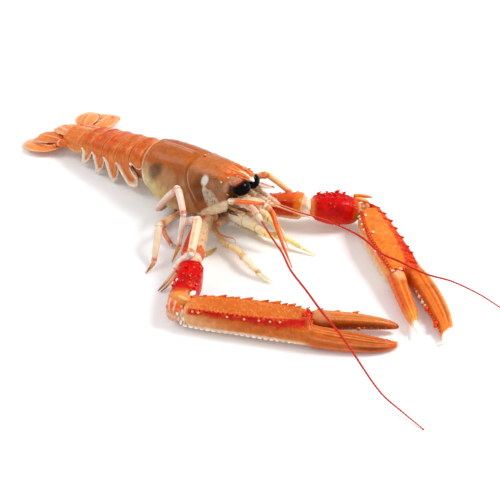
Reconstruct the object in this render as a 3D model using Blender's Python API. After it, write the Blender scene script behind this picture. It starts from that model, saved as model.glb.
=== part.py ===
"""A raw langoustine lying on its belly, claws stretched forward.

Lengths in the tables are millimetres in the animal's own frame: X runs from the tail to the head,
Y to the animal's left, Z up. FRAME moves that frame so that the origin is at the bottom centre of
the whole animal's box. Each shell plate or limb tube is one closed solid; between two
neighbours that meet at a soft joint there is a gap of about 0.3 mm.
"""
import bmesh
import bpy
import numpy as np

MM = 0.001
FRAME = (-51.55, 12.7, -0.12)  # added to every point, mm
UP = np.array([0.0, 0.0, 1.0])

for ob in list(bpy.data.objects):
    bpy.data.objects.remove(ob, do_unlink=True)


# ---------------------------------------------------------------- helpers
def spline(rows, count):
    """Catmull-Rom curve through the rows (any number of columns), count samples evenly along the chord."""
    rows = np.asarray(rows, float)
    if count == len(rows):
        return rows
    step = np.linalg.norm(np.diff(rows[:, :3], axis=0), axis=1)
    t = np.concatenate([[0.0], np.cumsum(np.maximum(step, 1e-6))])
    grad = np.empty_like(rows)
    grad[1:-1] = (rows[2:] - rows[:-2]) / (t[2:] - t[:-2])[:, None]
    grad[0] = (rows[1] - rows[0]) / (t[1] - t[0])
    grad[-1] = (rows[-1] - rows[-2]) / (t[-1] - t[-2])
    u = np.linspace(0, t[-1], count)
    i = np.clip(np.searchsorted(t, u, "right") - 1, 0, len(rows) - 2)
    h = (t[i + 1] - t[i])[:, None]
    s = ((u - t[i]) / (t[i + 1] - t[i]))[:, None]
    return ((2 * s**3 - 3 * s**2 + 1) * rows[i] + (s**3 - 2 * s**2 + s) * h * grad[i]
            + (-2 * s**3 + 3 * s**2) * rows[i + 1] + (s**3 - s**2) * h * grad[i + 1])


def frames(centre, up):
    """Tangent, sideways and upward unit vectors at every point of a centre line."""
    tangent = np.gradient(centre, axis=0)
    tangent /= np.linalg.norm(tangent, axis=1)[:, None]
    side = np.cross(np.broadcast_to(up, tangent.shape), tangent)
    side /= np.linalg.norm(side, axis=1)[:, None]
    return tangent, side, np.cross(tangent, side)


def body(name, rings, colour, rough=0.35, clear=0.0):
    """One closed solid from a list of rings with equal point counts, flat caps at both ends."""
    mesh = bpy.data.meshes.new(name)
    bm = bmesh.new()
    rows = [[bm.verts.new((np.asarray(p) + FRAME) * MM) for p in ring] for ring in rings]
    n = len(rows[0])
    for low, high in zip(rows, rows[1:]):
        for k in range(n):
            bm.faces.new((low[k], low[(k + 1) % n], high[(k + 1) % n], high[k]))
    bm.faces.new(rows[0][::-1])
    bm.faces.new(rows[-1])
    bmesh.ops.recalc_face_normals(bm, faces=bm.faces)
    bmesh.ops.triangulate(bm, faces=bm.faces)
    bmesh.ops.recalc_face_normals(bm, faces=bm.faces)
    bm.to_mesh(mesh)
    bm.free()
    ob = bpy.data.objects.new(name, mesh)
    bpy.context.scene.collection.objects.link(ob)
    mat = bpy.data.materials.new(name)
    mat.use_nodes = True
    node = mat.node_tree.nodes["Principled BSDF"]
    node.inputs["Base Color"].default_value = (*colour, 1.0)
    node.inputs["Roughness"].default_value = rough
    node.inputs["Coat Weight"].default_value = clear
    mesh.materials.append(mat)
    return ob


def oval_rings(rows, around, along, power=2.0, up=UP, axis=None):
    """Rings of a limb: rows are x, y, z, half width, half height. With an axis, every ring is square to it."""
    data = spline(rows, along)
    _, side, top = frames(data[:, :3], up)
    if axis is not None:
        side = np.broadcast_to(np.cross(up, (*axis, 0.0)), side.shape)
        top = np.broadcast_to(up, top.shape)
    turn = np.arange(around) * 2 * np.pi / around
    c, s = np.cos(turn), np.sin(turn)
    wide = np.sign(c) * np.abs(c) ** (2 / power)
    high = np.sign(s) * np.abs(s) ** (2 / power)
    return [centre + np.outer(wide * a, sv) + np.outer(high * b, tv)
            for centre, a, b, sv, tv in zip(data[:, :3], data[:, 3], data[:, 4], side, top)]


def limb(name, rows, colour, around=8, along=None, power=2.0, up=UP, axis=None, rough=0.35):
    return body(name, oval_rings(rows, around, along or len(rows), power, np.asarray(up, float), axis), colour, rough)


def mirror(rows):
    return [(r[0], -r[1], *r[2:]) for r in rows]


def joined(half):
    """A whole ring from its right half, listed from the crest down to the belly line."""
    half = np.asarray(half, float)
    other = half[1:-1][::-1] * (1, -1, 1)
    return np.concatenate([half, other])


# ---------------------------------------------------------------- carapace with rostrum
# station x, half width, crest z, widest z, edge half width, edge z, belly z
CARAPACE = [
    (-0.6, 10.8, 27.0, 15.6, 11.2, 6.6, 6.8),
    (0.6, 11.8, 28.0, 15.6, 12.4, 6.0, 5.6),
    (5.0, 12.6, 29.2, 15.6, 13.4, 5.4, 4.9),
    (12.0, 13.1, 30.1, 15.8, 14.0, 5.3, 4.7),
    (20.0, 13.4, 30.8, 16.0, 14.0, 5.7, 4.6),
    (27.0, 13.2, 31.1, 16.3, 13.7, 6.5, 4.6),
    (34.0, 12.8, 31.5, 17.0, 13.3, 7.6, 4.8),
    (41.0, 11.9, 31.9, 18.0, 12.2, 9.2, 6.2),
    (47.0, 10.5, 32.2, 19.2, 10.4, 12.0, 9.6),
    (51.6, 8.8, 32.4, 20.4, 8.6, 15.4, 13.6),
    (53.0, 6.6, 32.5, 24.0, 6.6, 19.5, 19.0),
    (54.2, 4.5, 32.6, 31.2, 4.2, 30.9, 30.7),
    (57.4, 3.6, 32.6, 31.4, 3.3, 31.0, 30.8),
    (59.4, 2.4, 32.1, 31.2, 2.2, 30.7, 30.5),
    (60.9, 1.1, 31.4, 30.8, 1.0, 30.5, 30.4),
    (61.8, 0.35, 31.0, 30.75, 0.33, 30.6, 30.55),
]


def rear_sweep(x, z):
    """How far the lower rear corner of the carapace is swept forward."""
    low = max(0.0, (16.0 - z) / 11.0)
    return 11.6 * low**2.3 * max(0.0, 1.0 - max(x, 0.0) / 26.0)


def carapace_half(x, a, crest, mid, edge, low, belly):
    h = crest - mid
    pts = [(x, 0, crest), (x, -0.38 * a, crest - 0.05 * h), (x, -0.70 * a, crest - 0.23 * h),
           (x, -0.92 * a, crest - 0.56 * h), (x, -a, mid)]
    z = 0.5 * (mid + low)
    pts.append((x + rear_sweep(x, z), -0.5 * (a + edge) - 0.015 * a, z))
    pts.append((x + rear_sweep(x, low), -edge, low))
    z = min(low + 0.5, mid)
    inner = 0.72 * edge
    pts.append((x + 0.45 * rear_sweep(x, low), -inner, 0.5 * (low + belly)))
    pts.append((x, -0.35 * edge, belly))
    pts.append((x, 0, belly))
    return pts


body("carapace", [joined(carapace_half(*row)) for row in CARAPACE], (0.62, 0.22, 0.07), 0.3, 0.3)

# ---------------------------------------------------------------- tail segments
# Each row: distance back along the tail, half width, crest z, widest z.
# The centre line bends a little to the left towards the fan.
TAIL = [
    (-1.0, 10.9, 26.2, 15.6),
    (-9.0, 11.0, 24.9, 15.0),
    (-19.2, 11.1, 22.8, 13.8),
    (-28.9, 11.0, 20.9, 12.8),
    (-38.0, 10.7, 19.0, 11.9),
    (-46.2, 10.3, 17.2, 11.0),
    (-64.8, 8.3, 12.8, 8.3),
]
# pleuron tips: x, half width, z
TIPS = [(-5.2, 10.2, 12.4), (-9.6, 11.3, 3.0), (-22.6, 11.5, 0.7), (-35.0, 11.3, 0.9), (-46.0, 10.7, 1.9), (-55.4, 9.7, 4.6)]
JOINT = 0.3


def tail_bend(x):
    """Sideways offset of the tail's centre line."""
    return 0.0 if x > -46 else 0.0030 * (x + 46) ** 2


def tail_at(x):
    t = np.array(TAIL)[::-1]
    return [float(np.interp(x, t[:, 0], t[:, k])) for k in (1, 2, 3)]


def segment_half(x, middle, belly, reach, tip, spread, side):
    """Half ring of a tail segment; reach is 0 to 1, how far the pleuron comes down to its tip,
    spread how broad the tip stays in comparison with the plate."""
    a, crest, mid = tail_at(x)
    shift = tip[0] - middle + (spread - 1.0) * (x - middle)
    h = crest - mid
    y0 = tail_bend(x)
    pts = [(x, 0, crest), (x, 0.40 * a, crest - 0.06 * h), (x, 0.74 * a, crest - 0.27 * h),
           (x, 0.94 * a, crest - 0.60 * h), (x, a, mid)]
    _, ty, tz = tip
    low = mid - 1.0
    pts.append((x + reach * 0.55 * shift, a + 0.5 * reach * (ty - a), low + 0.55 * reach * (tz - low)))
    pts.append((x + reach * shift, a + reach * (ty - a) - 0.3, low + reach * (tz - low)))
    pts.append((x + reach * shift, a + reach * (ty - a) - 1.3, low + reach * (tz + 0.2 - low)))
    pts.append((x, 0.80 * a, min(belly + 1.2, mid - 0.6)))
    pts.append((x, 0.4 * a, belly))
    pts.append((x, 0, belly))
    return [(px, y0 + side * py, pz) for px, py, pz in pts]


def segment(number):
    front, rear = TAIL[number - 1][0] - JOINT, TAIL[number][0] + JOINT
    tip = TIPS[number - 1]
    belly = {1: 7.2, 2: 6.6, 3: 6.0, 4: 5.6, 5: 5.2, 6: 4.6}[number]
    shares = [(0.0, 0.25), (0.3, 0.62), (0.62, 1.0), (0.86, 0.72), (1.0, 0.2)]
    if number == 2:
        shares = [(0.0, 0.5), (0.2, 0.86), (0.5, 1.0), (0.78, 0.86), (1.0, 0.2)]
    if number == 1:
        shares = [(0.0, 0.4), (0.35, 0.8), (0.7, 0.7), (1.0, 0.1)]
    if number == 6:
        shares = [(0.0, 0.25), (0.2, 0.9), (0.34, 0.9), (0.6, 0.2), (1.0, 0.1)]
    rings = []
    middle, spread = 0.5 * (front + rear), {1: 0.8, 2: 0.7}.get(number, 0.3)
    for share, reach in shares:
        x = front + share * (rear - front)
        right = segment_half(x, middle, belly, reach, tip, spread, -1)
        left = segment_half(x, middle, belly, reach, tip, spread, 1)
        rings.append(np.concatenate([right, left[1:-1][::-1]]))
    body(f"abdomen_{number}", rings, (0.72, 0.19, 0.03), 0.35, 0.2)


for number in range(1, 7):
    segment(number)


# ---------------------------------------------------------------- tail fan
def leaf(name, rows, thick, colour):
    """A thin rounded plate; rows are x, y, z of its middle line and its half width."""
    rows = np.asarray(rows, float)
    _, side, _ = frames(rows[:, :3], UP)
    rings = []
    for centre, width, flat in zip(rows[:, :3], rows[:, 3], side):
        deep = min(0.5 * thick, 0.45 * width)
        rings.append([centre + flat * width * s + UP * deep * u for s, u in (
            (-1.0, 0.0), (-0.84, 0.62), (-0.5, 0.95), (0.0, 1.0), (0.5, 0.95), (0.84, 0.62),
            (1.0, 0.0), (0.84, -0.62), (0.5, -0.95), (0.0, -1.0), (-0.5, -0.95), (-0.84, -0.62))])
    body(name, rings, colour, 0.3, 0.3)


leaf("telson", [(-65.4, 1.3, 8.6, 5.3), (-67.0, 1.6, 8.2, 6.0), (-71.2, 2.7, 7.1, 6.1), (-76.2, 4.0, 6.0, 5.9), (-80.0, 5.1, 5.3, 5.4),
                (-82.2, 5.7, 4.9, 4.3), (-83.2, 6.0, 4.7, 3.0), (-83.7, 6.1, 4.6, 1.6)], 1.6, (0.78, 0.28, 0.06))
limb("uropod_base_r", [(-64.9, -8.2, 6.2, 1.3, 1.2), (-65.8, -8.9, 5.8, 2.1, 1.7), (-67.0, -9.6, 5.4, 2.2, 1.6), (-68.2, -10.2, 5.0, 1.4, 1.0)],
     (0.80, 0.30, 0.07), 8)
limb("uropod_base_l", [(-62.6, 11.6, 6.4, 1.4, 1.4), (-64.6, 12.6, 6.2, 2.2, 2.1), (-67.0, 13.2, 6.2, 2.3, 1.8), (-68.6, 13.5, 6.2, 1.4, 1.1)],
     (0.80, 0.30, 0.07), 8)
leaf("uropod_in_r", [(-68.9, -6.2, 4.9, 1.7), (-70.4, -6.0, 4.8, 3.6), (-73.0, -5.6, 4.5, 5.0), (-77.0, -5.6, 4.2, 6.0), (-80.3, -6.2, 4.0, 5.8),
                     (-82.8, -7.1, 3.9, 4.4), (-84.2, -7.7, 3.8, 2.5), (-84.8, -8.0, 3.75, 1.0)], 1.0, (0.80, 0.36, 0.12))
leaf("uropod_out_r", [(-68.8, -12.2, 3.6, 2.6), (-70.8, -12.8, 3.3, 5.4), (-75.0, -13.5, 2.8, 6.8), (-79.6, -13.8, 2.3, 7.0), (-82.8, -13.9, 1.9, 6.4),
                      (-85.2, -13.9, 1.7, 4.7), (-86.4, -13.9, 1.6, 2.8), (-87.0, -13.9, 1.55, 1.1)], 1.0, (0.82, 0.36, 0.14))
leaf("uropod_in_l", [(-71.0, 12.4, 6.7, 1.8), (-72.6, 13.9, 6.6, 3.7), (-74.6, 16.4, 6.5, 5.4), (-76.6, 19.2, 6.4, 6.0), (-78.2, 22.2, 6.2, 5.0),
                     (-79.4, 24.6, 6.1, 3.2), (-79.9, 25.7, 6.0, 1.3)], 1.0, (0.82, 0.40, 0.16))
leaf("uropod_out_l", [(-67.8, 16.2, 4.9, 2.6), (-68.4, 18.2, 4.9, 6.2), (-69.6, 21.4, 4.8, 8.2), (-71.2, 25.0, 4.6, 8.6), (-72.8, 27.8, 4.4, 8.2),
                      (-73.8, 29.6, 4.3, 7.0), (-74.4, 30.6, 4.2, 5.0), (-74.8, 31.2, 4.1, 2.4)], 1.0, (0.84, 0.42, 0.20))


# ---------------------------------------------------------------- eyes
def eye(name, centre, deep, wide, high):
    centre = np.array(centre)
    rings = []
    for k in range(9):
        turn = -np.pi / 2 + np.pi * (0.06 + 0.88 * k / 8)
        r = np.cos(turn)
        x = np.sin(turn)
        rings.append([centre + np.array([deep * x, wide * r * np.cos(a), high * r * np.sin(a)])
                      for a in np.arange(16) * np.pi / 8])
    body(name, rings, (0.012, 0.008, 0.008), 0.08, 0.6)


eye("eye_r", (59.0, -6.9, 27.5), 3.9, 4.2, 3.3)
eye("eye_l", (58.2, 3.4, 26.8), 3.2, 3.8, 3.4)

# ---------------------------------------------------------------- antennae, scales, antennules, mouthparts
PEDUNCLE = [(54.9, -8.2, 20.6, 1.8, 1.7), (57.6, -7.9, 21.0, 1.9, 1.8), (61.6, -6.9, 21.4, 1.8, 1.7), (65.4, -6.7, 20.9, 1.7, 1.6),
            (69.2, -7.5, 19.7, 1.45, 1.35), (72.6, -8.5, 18.2, 1.0, 1.0)]
limb("antenna_base_r", PEDUNCLE, (0.80, 0.42, 0.22), 8)
limb("antenna_base_l", [(54.9, 7.4, 20.0, 1.7, 1.6), (57.6, 6.8, 20.2, 1.8, 1.7), (61.6, 5.7, 20.6, 1.7, 1.6), (65.4, 4.8, 20.8, 1.5, 1.4),
                        (69.2, 4.1, 20.9, 1.25, 1.15), (72.4, 3.5, 20.9, 0.85, 0.85)], (0.80, 0.42, 0.22), 8)
limb("antenna_r", [(73.5, -8.9, 18.0, 0.8, 0.8), (84.0, -15.1, 18.2, 0.75, 0.75), (94.4, -20.8, 18.2, 0.8, 0.8),
                   (104.6, -27.9, 18.4, 0.75, 0.75), (117.0, -33.4, 17.6, 0.72, 0.72),
                   (128.2, -38.2, 16.2, 0.7, 0.7), (138.3, -41.4, 14.2, 0.66, 0.66), (147.0, -44.8, 12.4, 0.6, 0.6),
                   (163.9, -49.2, 4.7, 0.5, 0.5), (174.4, -49.6, 1.6, 0.42, 0.42), (184.0, -50.7, 0.45, 0.3, 0.3)],
     (0.75, 0.07, 0.03), 6)
limb("antenna_l", [(73.3, 3.6, 20.9, 0.7, 0.7), (83.2, 5.8, 20.0, 0.7, 0.7), (94.0, 8.4, 19.8, 0.8, 0.8),
                   (104.4, 9.4, 19.4, 0.75, 0.75), (114.0, 9.2, 18.8, 0.75, 0.75), (125.6, 6.5, 17.7, 0.72, 0.72),
                   (133.2, 7.6, 17.0, 0.7, 0.7), (139.6, 9.0, 15.6, 0.66, 0.66), (145.8, 11.8, 13.6, 0.62, 0.62),
                   (153.5, 17.6, 10.8, 0.56, 0.56), (163.6, 24.6, 4.8, 0.5, 0.5), (172.2, 26.9, 1.2, 0.44, 0.44),
                   (181.0, 26.0, 0.6, 0.38, 0.38), (190.0, 22.4, 0.5, 0.28, 0.28)], (0.75, 0.07, 0.03), 6)


def scale(name, side, rows):
    """The leaf-shaped antennal scale with its straight outer edge; rows are x, y, z, inner and outer reach."""
    rings = []
    for x, y, z, inner, outer in rows:
        t = 0.35 if inner > 0.6 else 0.22
        rings.append([(x, side * (y + outer), z - 0.2), (x, side * (y + outer * 0.6), z + t), (x, side * (y - inner * 0.5), z + t),
                      (x, side * (y - inner), z), (x, side * (y - inner * 0.5), z - t), (x, side * (y + outer * 0.6), z - t - 0.3)])
    body(name, rings, (0.85, 0.55, 0.38), 0.3)


scale("antenna_scale_r", -1, [(57.0, 11.2, 23.2, 0.7, 1.3), (59.0, 10.7, 23.7, 1.2, 1.8), (61.0, 10.3, 24.0, 2.2, 1.9), (63.5, 9.9, 24.4, 3.4, 2.0),
                              (68.0, 8.9, 25.4, 3.4, 2.0), (72.0, 8.3, 26.3, 2.2, 1.8), (74.0, 8.1, 26.7, 0.5, 0.9)])
scale("antenna_scale_l", 1, [(57.0, 8.4, 22.6, 0.7, 0.9), (58.8, 8.2, 23.0, 1.4, 1.2), (61.4, 7.6, 23.9, 2.0, 1.2), (64.2, 7.0, 24.8, 2.0, 1.1),
                             (66.4, 6.6, 25.5, 1.3, 0.9), (67.4, 6.5, 25.8, 0.4, 0.5)])

limb("antennule_r", [(55.0, -2.6, 22.0, 1.6, 1.6), (58.6, -2.7, 21.4, 1.8, 1.7), (64.0, -2.7, 21.6, 1.7, 1.7), (69.0, -2.6, 21.8, 1.6, 1.5),
                     (72.4, -2.9, 21.4, 1.4, 1.3), (75.6, -4.4, 20.4, 0.95, 0.95), (81.0, -8.2, 18.4, 0.85, 0.85), (89.5, -13.9, 15.6, 0.65, 0.65),
                     (99.2, -20.0, 12.4, 0.25, 0.25)], (0.82, 0.26, 0.06), 6)
limb("antennule_l", [(55.0, 2.4, 21.2, 1.5, 1.5), (58.6, 2.2, 20.6, 1.7, 1.7), (64.0, 1.4, 20.8, 1.6, 1.6), (69.6, 0.6, 21.2, 1.2, 1.1),
                     (74.0, 1.4, 21.4, 0.6, 0.6), (84.0, 3.6, 21.0, 0.5, 0.5), (96.0, 6.2, 20.8, 0.25, 0.25)],
     (0.82, 0.26, 0.06), 6)
MOUTH = [(50.6, -4.4, 9.4, 1.4, 1.6), (52.0, -4.5, 10.0, 2.1, 2.6), (56.4, -4.8, 11.0, 2.5, 3.4), (62.0, -4.8, 10.6, 2.2, 2.7),
         (67.0, -4.4, 9.4, 1.6, 1.8), (72.0, -3.8, 8.0, 1.2, 1.2), (75.6, -3.2, 7.2, 0.6, 0.6)]
limb("maxilliped_r", MOUTH, (0.86, 0.72, 0.50), 8)
limb("maxilliped_l", mirror(MOUTH), (0.86, 0.72, 0.50), 8)
limb("mouth", [(53.8, 0.0, 16.2, 2.6, 1.6), (55.4, 0.0, 16.6, 4.6, 2.2), (58.4, 0.0, 16.2, 4.2, 1.9), (61.6, 0.0, 15.6, 1.8, 1.0)],
     (0.72, 0.50, 0.32), 8)

# ---------------------------------------------------------------- claw arms
limb("merus_r", [(44.6, -10.8, 7.8, 2.0, 1.9), (46.2, -14.6, 8.6, 3.6, 3.3), (50.0, -22.0, 9.8, 4.8, 4.3), (55.4, -31.0, 10.4, 5.4, 4.8),
                 (59.8, -38.0, 10.3, 5.2, 4.8), (62.2, -42.0, 10.0, 3.4, 3.4)], (0.80, 0.24, 0.05), 10, power=2.4)
limb("merus_l", [(45.0, 9.8, 6.2, 2.0, 1.9), (48.6, 11.8, 7.2, 3.0, 2.8), (54.8, 14.0, 8.2, 4.1, 4.4), (63.0, 17.2, 9.6, 5.0, 5.6),
                 (70.8, 20.8, 10.6, 5.4, 6.1), (73.6, 22.0, 10.6, 3.9, 4.6)], (0.80, 0.24, 0.05), 10, power=2.4)

# the two claws: rows are distance along the claw, sideways offset, half width, z, half height
CLAW_R = ((80.6, -67.5), (0.843, 0.538), (0.538, -0.843))
CLAW_L = ((93.5, 39.7), (0.842, -0.539), (0.539, 0.842))


def on_claw(claw, rows):
    (x, y), (ax, ay), (bx, by) = claw
    return [(x + s * ax + t * bx, y + s * ay + t * by, z, w, h) for s, t, w, z, h in rows]


# wrists, in the frames of their claws
limb("carpus_r", on_claw(CLAW_R, [
    (-1.2, -28.6, 3.2, 10.0, 3.0), (-1.0, -26.0, 5.2, 9.6, 5.2), (-0.8, -20.0, 6.2, 8.6, 6.5), (-1.1, -14.0, 5.9, 7.7, 6.4),
    (-2.8, -9.0, 4.5, 7.0, 5.8), (-3.3, -4.5, 3.8, 6.2, 5.0), (-3.4, -1.0, 2.6, 5.6, 3.4)]), (0.72, 0.04, 0.015), 12, power=2.6)
limb("carpus_l", [(75.4, 23.2, 10.8, 3.2, 3.2), (77.6, 25.4, 10.4, 5.6, 5.6), (82.0, 29.6, 9.6, 6.8, 7.0), (87.0, 34.2, 8.6, 6.6, 6.8),
                  (90.4, 37.4, 8.0, 4.8, 5.6), (91.8, 38.8, 7.8, 3.0, 3.8)], (0.72, 0.04, 0.015), 12, power=2.6)


limb("palm_r", on_claw(CLAW_R, [
    (1.4, -3.0, 3.6, 6.4, 3.4), (3.6, -3.6, 5.4, 6.0, 4.8), (8.4, -4.2, 6.9, 5.7, 5.4), (18.0, -3.9, 7.6, 5.7, 5.5),
    (30.0, -3.3, 7.8, 5.7, 5.5), (42.0, -2.3, 7.8, 5.6, 5.4), (50.6, -1.2, 7.4, 5.4, 5.1), (52.0, 0.8, 5.4, 5.0, 4.7),
    (53.0, 2.6, 3.8, 4.7, 4.4), (60.0, 2.9, 3.8, 4.3, 4.0), (70.0, 2.7, 3.6, 3.7, 3.4), (77.0, 2.3, 2.9, 3.2, 2.8),
    (82.0, 1.6, 2.0, 2.8, 2.1), (85.0, 0.7, 1.3, 2.6, 1.3), (87.0, -0.6, 0.8, 2.5, 0.8), (88.8, -2.6, 0.55, 2.4, 0.55), (89.9, -5.0, 0.3, 2.4, 0.35)]),
    (0.84, 0.24, 0.06), 12, power=2.7, axis=CLAW_R[1])
limb("dactylus_r", on_claw(CLAW_R, [
    (52.7, -5.5, 2.5, 6.2, 2.6), (54.2, -5.5, 3.3, 6.3, 3.6), (58.0, -5.9, 3.5, 6.2, 3.6), (63.0, -6.8, 3.3, 5.9, 3.4), (70.0, -8.1, 3.0, 5.3, 3.0),
    (78.0, -9.2, 2.4, 4.4, 2.4), (83.0, -9.5, 1.7, 3.8, 1.7), (85.6, -9.5, 1.0, 3.4, 1.0), (86.5, -9.4, 0.4, 3.3, 0.4)]),
    (0.84, 0.20, 0.05), 10, power=2.4, axis=CLAW_R[1])
limb("palm_l", on_claw(CLAW_L, [
    (1.4, 2.6, 3.6, 6.6, 3.6), (3.6, 2.4, 5.7, 6.2, 5.0), (9.0, 1.6, 6.9, 5.9, 5.6), (18.0, 0.9, 7.5, 6.0, 5.8),
    (30.0, 0.3, 7.9, 6.0, 5.8), (41.0, -0.1, 7.9, 5.8, 5.5), (47.6, 0.1, 7.6, 5.6, 5.2), (48.9, 2.5, 5.4, 5.3, 4.9),
    (49.8, 4.4, 4.1, 5.1, 4.7), (57.0, 4.7, 4.2, 4.8, 4.4), (65.0, 4.9, 4.2, 4.2, 3.9), (73.0, 4.4, 3.8, 3.6, 3.3),
    (79.0, 3.5, 3.1, 3.1, 2.7), (83.0, 2.3, 2.4, 2.8, 2.2), (85.4, 0.9, 1.6, 2.5, 1.6), (86.6, -0.6, 0.9, 2.4, 0.9), (87.4, -2.2, 0.35, 2.4, 0.4)]),
    (0.84, 0.24, 0.06), 12, power=2.7, axis=CLAW_L[1])
limb("dactylus_l", on_claw(CLAW_L, [
    (49.5, -4.8, 2.6, 6.6, 2.8), (50.8, -4.9, 3.3, 6.7, 3.8), (57.0, -6.0, 3.2, 6.2, 3.5), (64.0, -6.9, 2.9, 5.4, 3.1),
    (70.0, -7.6, 2.4, 4.7, 2.6), (75.0, -8.3, 1.6, 4.2, 1.9), (78.0, -8.8, 0.95, 3.9, 1.2), (80.6, -9.2, 0.5, 3.6, 0.6), (82.2, -9.4, 0.2, 3.5, 0.25)]),
    (0.84, 0.20, 0.05), 10, power=2.4, axis=CLAW_L[1])


# ---------------------------------------------------------------- walking legs
def leg(name, rows, colour, around=6):
    """rows are x, y, z, half width; the tube is slightly taller than wide."""
    limb(name, [(x, y, z, r, 1.1 * r) for x, y, z, r in rows], colour, around, up=np.array([0.35, 0.05, 1.0]))


PALE = (0.86, 0.58, 0.48)
CREAM = (0.86, 0.68, 0.44)
leg("leg_2_r", [(39.6, -8.0, 2.9, 1.1), (47.6, -11.4, 2.9, 1.3), (56.0, -15.6, 3.4, 1.6), (61.6, -17.4, 4.4, 1.85), (66.6, -18.0, 4.9, 1.85),
                (72.7, -20.2, 5.0, 1.9), (77.6, -21.7, 4.4, 1.8), (83.0, -22.1, 2.8, 1.5), (87.0, -21.9, 1.7, 1.0), (91.2, -21.2, 0.8, 0.4)], CREAM)
leg("leg_3_r", [(32.6, -8.6, 3.4, 1.1), (35.2, -14.6, 4.2, 1.3), (38.6, -21.6, 9.2, 1.6), (47.0, -25.8, 16.0, 1.8), (53.2, -28.4, 20.0, 1.9),
                (55.6, -30.6, 20.6, 1.9), (60.4, -37.4, 19.4, 1.8), (64.4, -44.2, 18.2, 1.7), (59.7, -46.1, 11.4, 1.5), (58.3, -50.4, 5.2, 1.3),
                (57.2, -57.3, 0.8, 0.4)], PALE)
leg("leg_4_r", [(24.6, -8.4, 3.6, 1.0), (26.4, -14.0, 4.2, 1.2), (30.4, -24.0, 8.2, 1.5), (34.4, -33.4, 12.6, 1.7), (36.4, -36.8, 11.8, 1.7),
                (39.6, -41.2, 7.4, 1.6), (43.0, -46.6, 2.4, 1.2), (44.0, -52.4, 0.5, 0.3)], CREAM)
leg("leg_5_r", [(15.0, -8.4, 3.2, 1.0), (16.0, -15.0, 3.7, 1.2), (18.6, -20.0, 7.4, 1.4), (27.0, -20.9, 17.4, 1.5), (34.2, -21.6, 25.2, 1.6),
                (36.2, -22.6, 25.6, 1.6), (40.0, -25.0, 22.4, 1.5), (44.2, -28.0, 18.8, 1.4), (45.4, -31.4, 11.6, 1.3), (46.2, -34.2, 5.4, 1.1),
                (47.0, -39.4, 0.5, 0.3)], PALE)
leg("leg_2_l", [(34.0, 13.2, 4.0, 1.1), (35.4, 16.6, 7.4, 1.3), (42.6, 17.8, 14.2, 1.45), (50.2, 16.4, 20.8, 1.5), (54.2, 18.0, 22.2, 1.45),
                (58.4, 20.6, 18.4, 1.35), (62.8, 24.2, 13.6, 1.2), (64.6, 29.0, 8.0, 1.0), (65.2, 34.0, 3.6, 0.7), (65.6, 37.6, 0.5, 0.3)], (0.84, 0.40, 0.20))
leg("leg_3_l", [(34.0, 8.6, 3.2, 1.1), (46.0, 6.6, 2.6, 1.3), (58.0, 3.6, 2.1, 1.4), (63.0, 2.0, 2.4, 1.5), (67.6, 1.4, 3.3, 1.6),
                (72.0, 2.6, 4.0, 1.6), (77.0, 3.2, 4.2, 1.5), (84.0, 4.6, 2.8, 1.2), (92.3, 6.2, 0.6, 0.4)], (0.88, 0.76, 0.36))
leg("leg_4_l", [(22.4, 7.6, 2.4, 0.9), (28.0, 0.0, 1.3, 0.95), (34.6, -9.6, 1.15, 0.95), (44.0, -20.6, 1.2, 1.0), (51.4, -27.8, 1.5, 1.1),
                (54.6, -27.2, 1.7, 1.1), (55.4, -22.6, 1.2, 0.8), (54.4, -18.4, 0.5, 0.35)], CREAM)
leg("leg_5_l", [(12.6, 7.6, 2.4, 0.9), (17.0, -2.0, 1.3, 0.95), (21.4, -12.6, 1.25, 0.95), (27.0, -25.6, 2.4, 1.1), (32.6, -29.0, 3.0, 1.1),
                (39.0, -31.6, 2.0, 0.9), (42.0, -28.6, 0.5, 0.3)], (0.72, 0.34, 0.24))
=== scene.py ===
"""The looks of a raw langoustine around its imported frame.

Tables are millimetres in the animal's own frame (X tail to head, Y to its left, Z up); FRAME moves them to
the row's frame. Every shell piece is a closed grid of rings whose relief (grooves, keels, granules) is moved
in code, and whose colour zones are painted per vertex by functions of the place on the animal.
"""
import math
import bpy
import numpy as np
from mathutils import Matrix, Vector


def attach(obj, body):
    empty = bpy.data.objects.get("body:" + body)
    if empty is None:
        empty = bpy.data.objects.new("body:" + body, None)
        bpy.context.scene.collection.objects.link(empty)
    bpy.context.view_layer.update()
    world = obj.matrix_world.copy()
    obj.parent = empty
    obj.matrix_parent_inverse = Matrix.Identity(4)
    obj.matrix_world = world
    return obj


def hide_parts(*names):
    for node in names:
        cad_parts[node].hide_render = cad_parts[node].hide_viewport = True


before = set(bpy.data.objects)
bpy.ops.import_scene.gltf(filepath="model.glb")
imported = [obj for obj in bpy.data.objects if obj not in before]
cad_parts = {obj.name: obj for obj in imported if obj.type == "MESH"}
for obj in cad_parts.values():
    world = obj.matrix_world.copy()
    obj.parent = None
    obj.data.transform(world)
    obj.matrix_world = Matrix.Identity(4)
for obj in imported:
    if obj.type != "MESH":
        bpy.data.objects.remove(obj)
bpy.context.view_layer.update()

MM = 0.001
FRAME = np.array([-51.55, 12.7, -0.12])
UP = np.array([0.0, 0.0, 1.0])


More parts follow.
